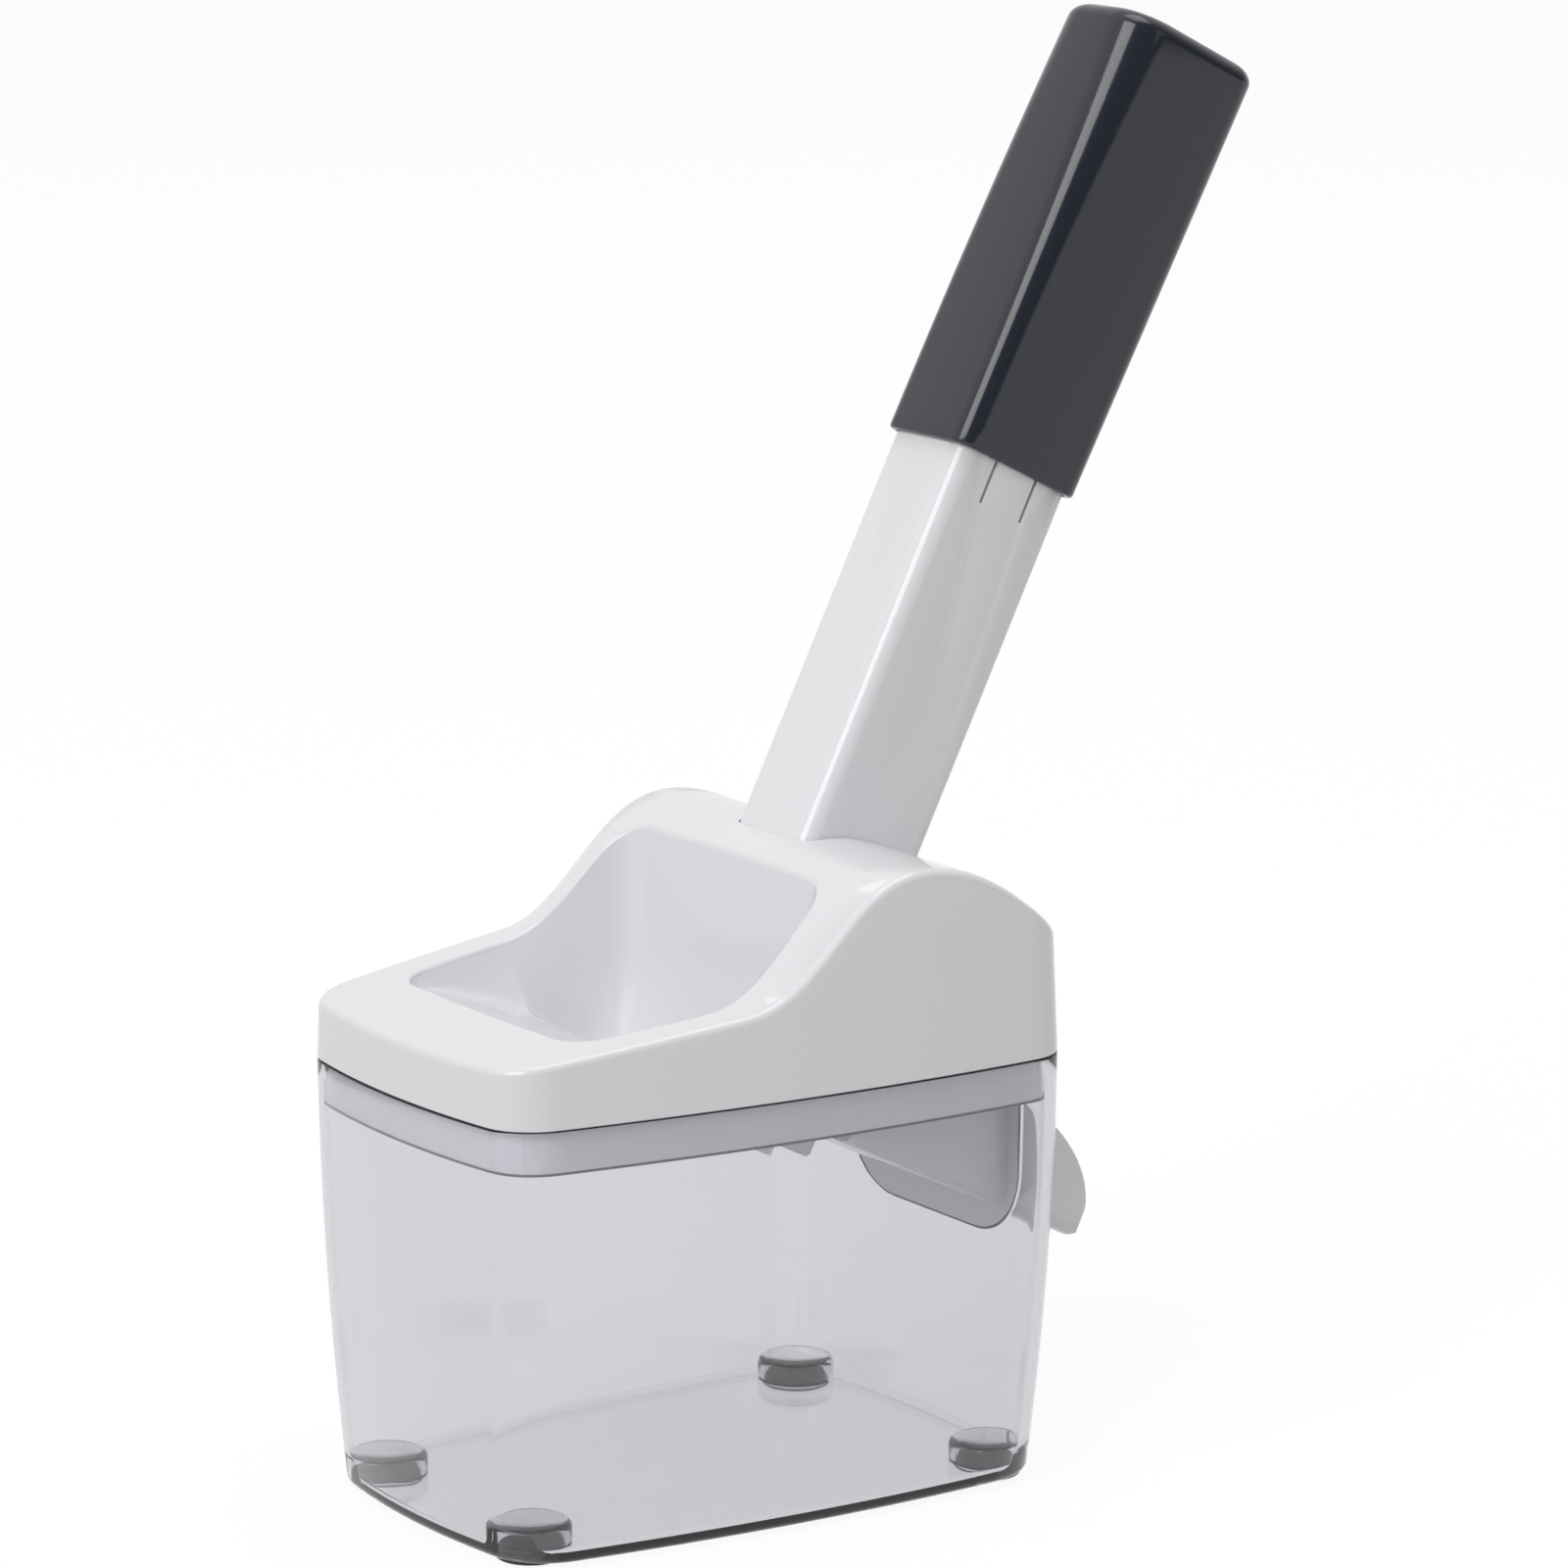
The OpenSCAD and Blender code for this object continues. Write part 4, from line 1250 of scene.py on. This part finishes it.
@dataclass
class Chute:
    """White chute square to the plunger's axis, with the panel that closes the box's notch."""

    t: float = 2.0
    width: float = 50.0
    reach: float = 15.5
    level: float = -10.5
    start: float = 13.9
    r: float = 3.5
    end_r: float = 3.0
    end_gap: float = 0.3
    wall_h: float = 66.0
    length: float = 120.0
    brim: float = -8.6
    brim_start: float = 5.7
    nose_l: float = 21.6
    nose_start_h: float = 18.9
    nose_in: float = 1.1
    nose_h: float = 13.6
    nose_under: float = 3.0
    nose_steps: int = 24
    deck_z: float = 0.9
    pocket_l: float = 31.0
    deck_gap: float = 3.2
    panel_w: float = 56.8
    panel_depth: float = 42.4
    panel_r: float = 14.4
    panel_t: float = 1.8
    edge: float = 0.55

    def trough(self, inset: float, start: float) -> Obj:
        """A long U-shaped prism behind the axis.

        Args:
            inset: how far its section is drawn in from the chute's outside.
            start: where it starts, square to the axis.

        Returns:
            The prism.
        """
        half, base = self.width / 2 - inset, self.level - self.t
        steps = rounding(self.r - inset, 10)
        section = [(half, self.wall_h), (-half, self.wall_h)]
        section += [(u - half, inset + v) for u, v in steps]
        section += [(half - v, inset + u) for u, v in steps]
        return MeshKit.prism("trough", section, lambda u, v, n: SIZES.on_axis(n, u, base + v),
                             start, start + self.length)

    @property
    def end_n(self) -> float:
        """Where the floor ends, square to the axis."""
        a = math.radians(SIZES.tilt)
        return (SIZES.rim_l / 2 + self.reach - SIZES.axis_x - self.level * math.sin(a)) / math.cos(a)

    def side(self) -> Obj:
        """The chute's side view from the frame's deck to the walls' round nose, across the whole width.

        Returns:
            A tool to cut with.
        """
        exit_x, back_x = SIZES.rim_l / 2 - self.brim_start, SIZES.axis_x + self.pocket_l
        deck, brim = SIZES.rim_z + self.deck_z, SIZES.rim_z + self.brim
        p0 = SIZES.on_axis(self.end_n - self.nose_l, 0.0, self.level + self.nose_start_h)
        p1 = SIZES.on_axis(self.end_n - self.nose_in, 0.0, self.level + self.nose_h)
        p2 = SIZES.on_axis(self.end_n, 0.0, self.level - self.t / 4)
        low = SIZES.on_axis(self.end_n - self.nose_under, 0.0, self.level - 2 * self.t)
        view = [(SIZES.axis_x, deck), (back_x - self.deck_gap, deck), (back_x, brim), (exit_x, brim)]
        for k in range(self.nose_steps + 1):
            t = k / self.nose_steps
            view.append(tuple(mix(mix(p0[j], p1[j], t), mix(p1[j], p2[j], t), t) for j in (0, 2)))
        view += [(low[0], low[2]), (low[0], 0.0), (SIZES.axis_x, 0.0)]
        return MeshKit.prism("side", view, lambda x, z, y: (x, y, z), -self.width, self.width)

    def plan(self) -> Obj:
        """The chute's plan with its rounded corners.

        Returns:
            A tool to cut with.
        """
        end, width = self.end_n + self.end_gap, self.width + 2 * self.end_gap
        outline = corner_rect(end - self.length, end, width, self.end_r, self.end_r, 16)
        return MeshKit.prism("plan", outline, SIZES.on_axis, -SIZES.rim_z, SIZES.rim_z)

    def panel(self) -> Obj:
        """The panel in the notch, cut off level with the chute's brim.

        Returns:
            The panel.
        """
        x, half, r = SIZES.rim_l / 2 - SIZES.box_wall - self.panel_t, self.panel_w / 2, self.panel_r
        whole = corner_rect(-half, half, 2 * self.panel_depth, r, r, 20)
        outline = [(y, z) for y, z in whole if z < self.brim] + [(-half, self.brim), (half, self.brim)]
        outline.sort(key=lambda p: math.atan2(p[1] + self.panel_depth / 2, p[0]))
        return MeshKit.prism("panel", outline, lambda y, z, d: (x + d, y, SIZES.rim_z + z), 0.0, self.panel_t)

    def build(self, dresser: Dresser) -> None:
        """Make the chute and its panel as one piece.

        Args:
            dresser: gives the piece its finish and body.
        """
        chute = self.trough(0.0, self.start)
        chute.name = "chute_white"
        MeshKit.combine(chute, self.side(), Cut.INTERSECT)
        MeshKit.combine(chute, self.plan(), Cut.INTERSECT)
        MeshKit.combine(chute, self.panel(), Cut.UNION)
        MeshKit.combine(chute, self.trough(self.t, 0.0), Cut.DIFFERENCE)
        MeshKit.soften(chute, self.edge)
        MeshKit.smooth(chute)
        dresser.dress(chute, Slot.WHITE, Body.TOP, "chute")


@dataclass
class SkirtShadeLip:
    """Painted shade: a thin dark lip under the frame's skirt that stands for the shaded gap there, seen as a
    fine dark line inside the box's rim.
    """

    inset: float = 2.25
    width: float = 1.2
    top: float = -8.3
    height: float = 0.5
    edge: float = 0.1

    def build(self, dresser: Dresser) -> None:
        """Make the lip as one closed ring.

        Args:
            dresser: gives the piece its finish and body.
        """
        outline, high = rim_outline(), SIZES.rim_z + self.top
        low, inner = high - self.height, self.inset + self.width
        section = [(self.inset, high), (self.inset, low), (inner, low), (inner, high)]
        rings = [[(x, y, z) for x, y in outline.ring(inset)] for inset, z in section]
        shade_lip = MeshKit.loft("skirt_shade_lip", rings, closed=True)
        MeshKit.soften(shade_lip, self.edge, 2)
        MeshKit.smooth(shade_lip)
        # Dark ring rubber here is painted shade for the gap under the skirt.
        dresser.dress(shade_lip, Slot.SEAT, Body.TOP)


@dataclass
class PanelShadeStrip:
    """Painted shade: a thin dark strip round the chute's panel that stands for the shaded gap between the
    panel and the notch's edge, seen as a dark line along the notch.
    """

    gap: float = 0.1
    depth: float = 0.48
    top: float = -9.0
    x: float = 62.1
    width: float = 1.4

    def path(self, inset: float) -> list[Flat]:
        """The notch's edge from one upper end to the other.

        Args:
            inset: how far it is drawn in.

        Returns:
            Its points: Y and the height above the rim.
        """
        half, low = SIZES.notch_w / 2 - inset, SIZES.notch_depth - inset
        left = [(u - half, v - low) for u, v in rounding(SIZES.notch_r - inset, 16)]
        return [(-half, self.top)] + left + [(-y, z) for y, z in reversed(left)] + [(half, self.top)]

    def build(self, dresser: Dresser) -> None:
        """Make the strip.

        Args:
            dresser: gives the piece its finish and body.
        """
        outline = self.path(self.gap) + list(reversed(self.path(self.gap + self.depth)))
        strip = MeshKit.prism("panel_shade_strip", outline, lambda y, z, d: (self.x + d, y, SIZES.rim_z + z),
                              0.0, self.width)
        MeshKit.smooth(strip)
        # Dark ring rubber here is painted shade for the gap along the notch's edge.
        dresser.dress(strip, Slot.SEAT, Body.TOP)


@dataclass
class Grip:
    """Dark push grip: a sleeve with a closed, slightly domed top."""

    low_r: float = 0.7
    top_r: float = 3.4
    tuck: float = 0.8
    r: float = 4.2
    front_r: float = 9.0
    back_r: float = 5.0
    crown: float = 0.8
    cap_in: float = 8.5
    cap_steps: int = 6
    lip_t: float = 1.2
    lip_up: float = 0.2
    mouth_in: float = 1.1
    slip: float = 0.3
    side_gap: float = 0.8
    corner_gap: float = 0.5
    least_r: float = 0.5
    neck_r: float = 6.3
    neck_from: float = 0.2
    neck_to: float = 1.2
    stop_gap: float = 1.0
    overlap: float = 16.0
    ceiling_t: float = 3.0
    well_d: float = 21.0
    boss_d: float = 11.0
    boss_l: float = 14.0
    rod_in: float = 12.1
    rod_gap: float = 0.02
    rod_heart: float = 0.4
    hair: float = 0.001
    steps: int = 10
    levels: int = 24

    def ring(self, inset: float, s: float) -> Ring:
        """Ring on the grip's outside.

        Args:
            inset: how far it is drawn in.
            s: height along the axis.

        Returns:
            The ring.
        """
        f = clamp01((s - SIZES.grip_z) / SIZES.grip_l)
        half = (SIZES.tube_d + SIZES.grip_over) / 2
        n0, n1 = inset + self.tuck * f - half, half + SIZES.grip_flare * f - inset
        r0 = max(self.least_r, mix(self.r, self.front_r, f * f) - inset / 2)
        r1 = max(self.least_r, mix(self.r, self.back_r, f) - inset / 3)
        width = SIZES.tube_w + SIZES.grip_over - 2 * inset
        return [SIZES.on_axis(n, y, s) for n, y in corner_rect(n0, n1, width, r0, r1, self.steps)]

    def bore(self, d: float, w: float, r: float, s: float) -> Ring:
        """Ring on the inside: depth, width, corner radius and height along the axis."""
        return [SIZES.on_axis(n, y, s) for n, y in corner_rect(-d / 2, d / 2, w, r, r, self.steps)]

    def circle(self, size: float, s: float) -> Ring:
        """Round ring on the inside: diameter and height along the axis."""
        return self.bore(size, size, size / 2 - self.hair, s)

    def inside(self) -> list[Ring]:
        """Rings of the inside: rod socket, boss, spring well, tube bore and the lip at the mouth.

        Returns:
            The rings from the socket's end to the mouth.
        """
        z, rod = SIZES.grip_z, SIZES.rod_d + self.rod_gap
        ceiling = SIZES.grip_top - self.ceiling_t
        low = ceiling - self.boss_l
        full = z + SIZES.stroke
        step = z + self.overlap + SIZES.stroke + self.stop_gap
        d, w = SIZES.tube_d + 2 * self.slip, SIZES.tube_w + 2 * self.side_gap
        lip_w, r = SIZES.tube_w + 2 * self.slip, SIZES.tube_r + self.slip
        rounds = [(self.rod_heart * rod, low + self.rod_in), (rod, low + self.rod_in), (rod, low),
                  (self.boss_d, low), (self.boss_d, ceiling), (self.well_d, ceiling), (self.well_d, step)]
        bores = [(w, self.neck_r, step), (w, self.neck_r, full + self.neck_to),
                 (w, r + self.corner_gap, full + self.neck_from), (w, r + self.corner_gap, z + self.lip_t),
                 (lip_w, r, z + self.lip_t), (lip_w, r, z + self.lip_up)]
        rings = [self.circle(size, s) for size, s in rounds]
        return rings + [self.bore(d, width, radius, s) for width, radius, s in bores]

    def outside(self) -> list[Ring]:
        """Rings of the outside: mouth, sleeve, rounded shoulder and domed cap.

        Returns:
            The rings from the mouth to the cap's middle.
        """
        z, low_r, top_r = SIZES.grip_z, self.low_r, self.top_r
        shoulder = SIZES.grip_top - self.crown - top_r
        rings = [self.ring(self.mouth_in, z)]
        rings += [self.ring(v, z + u) for u, v in rounding(low_r, 4)]
        rings += [self.ring(0, mix(z + low_r, shoulder, k / self.levels)) for k in range(1, self.levels)]
        rings += [self.ring(u, shoulder + top_r - v) for u, v in rounding(top_r, 8)]
        for k in range(1, self.cap_steps + 1):
            t = k / self.cap_steps
            rings.append(self.ring(mix(top_r, self.cap_in, t), SIZES.grip_top - self.crown * (1 - t) ** 2))
        return rings

    def build(self, dresser: Dresser) -> None:
        """Make the grip as one skin, inside and out.

        Args:
            dresser: gives the piece its finish and body.
        """
        grip = MeshKit.loft("grip_dark", self.inside() + self.outside())
        MeshKit.smooth(grip, 30.0)
        dresser.dress(grip, Slot.DARK, Body.PLUNGER, "grip")


@dataclass
class PlungerInside:
    """Rod, head, pin, spring seat and return spring inside the tube."""

    wire_d: float = 1.4
    curls: int = 18
    coil_d: float = 14.6
    z0: float = 108.1
    z1: float = 213.6
    end_pitch: float = 1.9
    per_curl: int = 28
    sides: int = 12
    pieces: tuple[tuple[str, float], ...] = (
        ("plunger_rod", 0.3), ("pitting_head", 0.12), ("head_pin", 0.2), ("spring_cup", 0.2))

    def curl_height(self, turn: float) -> float:
        """Height of the wire's middle, the end curls closed up.

        Args:
            turn: number of turns from the lower end.

        Returns:
            The height above the lower end.
        """
        h = self.z1 - self.z0 - self.wire_d
        pitch = (h - 2 * self.end_pitch) / (self.curls - 2)
        if turn < 1:
            return self.end_pitch * turn
        if turn > self.curls - 1:
            return h - self.end_pitch * (self.curls - turn)
        return self.end_pitch + pitch * (turn - 1)

    def spring(self) -> Obj:
        """The return spring as one round wire.

        Returns:
            The spring.
        """
        rings, half = [], self.wire_d / 2
        for k in range(self.curls * self.per_curl + 1):
            turn = k / self.per_curl
            a, z = 2 * math.pi * turn, self.z0 + half + self.curl_height(turn)
            ring = []
            for i in range(self.sides):
                b = 2 * math.pi * i / self.sides
                r = self.coil_d / 2 + half * math.cos(b)
                ring.append(SIZES.on_axis(r * math.cos(a), r * math.sin(a), z + half * math.sin(b)))
            rings.append(ring)
        return MeshKit.loft("return_spring_wire", rings)

    def build(self, dresser: Dresser) -> None:
        """Make the pieces that move with the plunger.

        Args:
            dresser: gives the pieces their finish and body.
        """
        for node, width in self.pieces:
            piece = MeshKit.copy_node(node, f"{node}_piece", width)
            dresser.dress(piece, Slot.STEEL, Body.PLUNGER, node)
        spring = self.spring()
        MeshKit.smooth(spring, 50.0)
        dresser.dress(spring, Slot.STEEL, Body.PLUNGER, "return_spring")
        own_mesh(spring)


@dataclass
class Studio:
    """Pale floor, soft lamps, white surroundings and the camera."""

    eye: Point = (-688.38, -1045.03, 409.06)
    azimuth: float = -34.3358
    elevation: float = 12.0947
    lens: float = 150.23
    world_light: float = 0.36
    room_front: float = 0.12
    floor_glow: float = 0.9
    floor_shade: float = 0.12
    floor_bounce: float = 0.65
    floor_size: float = 30.0
    floor_z: float = -0.0002
    room_depth: Flat = (-0.75, 0.1)
    aim: Point = (0.0, 0.0, 0.12)
    sensor: float = 36.0
    lamps: tuple[tuple[str, Point, float, float], ...] = (
        ("key", (-3.0, -1.0, 2.6), 2.2, 70.0), ("fill", (1.6, -3.2, 1.6), 1.6, 4.0),
        ("top", (0.4, -0.05, 4.0), 2.6, 50.0))

    @staticmethod
    def seen(tree: Tree) -> Socket:
        """Mask of the rays that show the background: camera, glossy and transmission rays.

        Args:
            tree: the tree.

        Returns:
            The mask.
        """
        path = tree.nodes.new("ShaderNodeLightPath").outputs
        glossy = NodeGroups.math(tree, "MAXIMUM", path["Is Camera Ray"], path["Is Glossy Ray"])
        return NodeGroups.math(tree, "MAXIMUM", glossy, path["Is Transmission Ray"])

    def floor(self) -> None:
        """A wide pale floor that reads as white and keeps the shadow."""
        bpy.ops.mesh.primitive_plane_add(size=self.floor_size, location=(0, 0, self.floor_z))
        floor = bpy.context.object
        floor.name = "studio_floor"
        mat = bpy.data.materials.new("Studio floor")
        mat.use_nodes = True
        tree = mat.node_tree
        tree.nodes.clear()
        diffuse = tree.nodes.new("ShaderNodeBsdfDiffuse")
        seen = self.seen(tree)
        change = self.floor_shade - self.floor_bounce
        tone = NodeGroups.math(tree, "MULTIPLY_ADD", seen, change, self.floor_bounce)
        tree.links.new(tone, diffuse.inputs["Color"])
        glow = tree.nodes.new("ShaderNodeEmission")
        strength = NodeGroups.math(tree, "MULTIPLY", seen, self.floor_glow)
        tree.links.new(strength, glow.inputs["Strength"])
        total = tree.nodes.new("ShaderNodeAddShader")
        tree.links.new(diffuse.outputs[0], total.inputs[0])
        tree.links.new(glow.outputs[0], total.inputs[1])
        out = tree.nodes.new("ShaderNodeOutputMaterial")
        tree.links.new(total.outputs[0], out.inputs["Surface"])
        floor.data.materials.append(mat)

    def world(self) -> None:
        """White surroundings that light the part softly; the room in front of the part is darker."""
        world = bpy.data.worlds.new("Studio")
        bpy.context.scene.world = world
        world.use_nodes = True
        tree = world.node_tree
        back = tree.nodes["Background"]
        back.inputs["Color"].default_value = (1, 1, 1, 1)
        path = tree.nodes.new("ShaderNodeLightPath").outputs
        direct = NodeGroups.math(tree, "MAXIMUM", path["Is Camera Ray"], path["Is Transmission Ray"])
        place = tree.nodes.new("ShaderNodeSeparateXYZ")
        tree.links.new(tree.nodes.new("ShaderNodeTexCoord").outputs["Generated"], place.inputs[0])
        depth = tree.nodes.new("ShaderNodeMapRange")
        depth.interpolation_type = "SMOOTHSTEP"
        near, far = self.room_depth
        ends = (("From Min", near), ("From Max", far), ("To Min", self.room_front), ("To Max", 1.0))
        for label, value in ends:
            depth.inputs[label].default_value = value
        tree.links.new(place.outputs["Y"], depth.inputs["Value"])
        room = NodeGroups.math(tree, "SUBTRACT", depth.outputs[0], self.world_light)
        mirrored = NodeGroups.math(tree, "MULTIPLY_ADD", room, path["Is Glossy Ray"], self.world_light)
        strength = NodeGroups.math(tree, "MAXIMUM", mirrored, direct)
        tree.links.new(strength, back.inputs["Strength"])

    def lamp(self, name: str, place: Point, size: float, power: float) -> None:
        """Add a soft square lamp that points at the part.

        Args:
            name: the lamp's name.
            place: where it stands, in metres.
            size: its side, in metres.
            power: its power in watts.
        """
        data = bpy.data.lights.new(name, "AREA")
        data.shape = "RECTANGLE"
        data.size, data.size_y = size, size
        data.energy = power
        lamp = bpy.data.objects.new(name, data)
        lamp.location = place
        lamp.rotation_euler = (Vector(self.aim) - Vector(place)).to_track_quat("-Z", "Y").to_euler()
        bpy.context.scene.collection.objects.link(lamp)

    def camera(self) -> None:
        """The camera at the photograph's viewing angle."""
        data = bpy.data.cameras.new("Camera")
        data.lens = self.lens
        data.sensor_width = self.sensor
        data.clip_start, data.clip_end = 0.05, 60.0
        camera = bpy.data.objects.new("Camera", data)
        camera.location = SIZES.row(self.eye)
        camera.rotation_euler = (math.radians(90 - self.elevation), 0, math.radians(self.azimuth))
        bpy.context.scene.collection.objects.link(camera)
        bpy.context.scene.camera = camera

    def build(self) -> None:
        """Set the stage."""
        bpy.context.scene.view_settings.view_transform = "Standard"
        self.floor()
        self.world()
        for name, place, size, power in self.lamps:
            self.lamp(name, place, size, power)
        self.camera()


def main() -> None:
    """Build the stage and the part's sub-assemblies in order."""
    logging.basicConfig(level=logging.INFO, format="%(name)s: %(message)s")
    Studio().build()
    dresser = Dresser()
    for assembly in (StoneBox(), Cover(), TopInside(), Chute(), SkirtShadeLip(), PanelShadeStrip(), Grip(),
                     PlungerInside()):
        assembly.build(dresser)


if __name__ == "__main__":
    main()
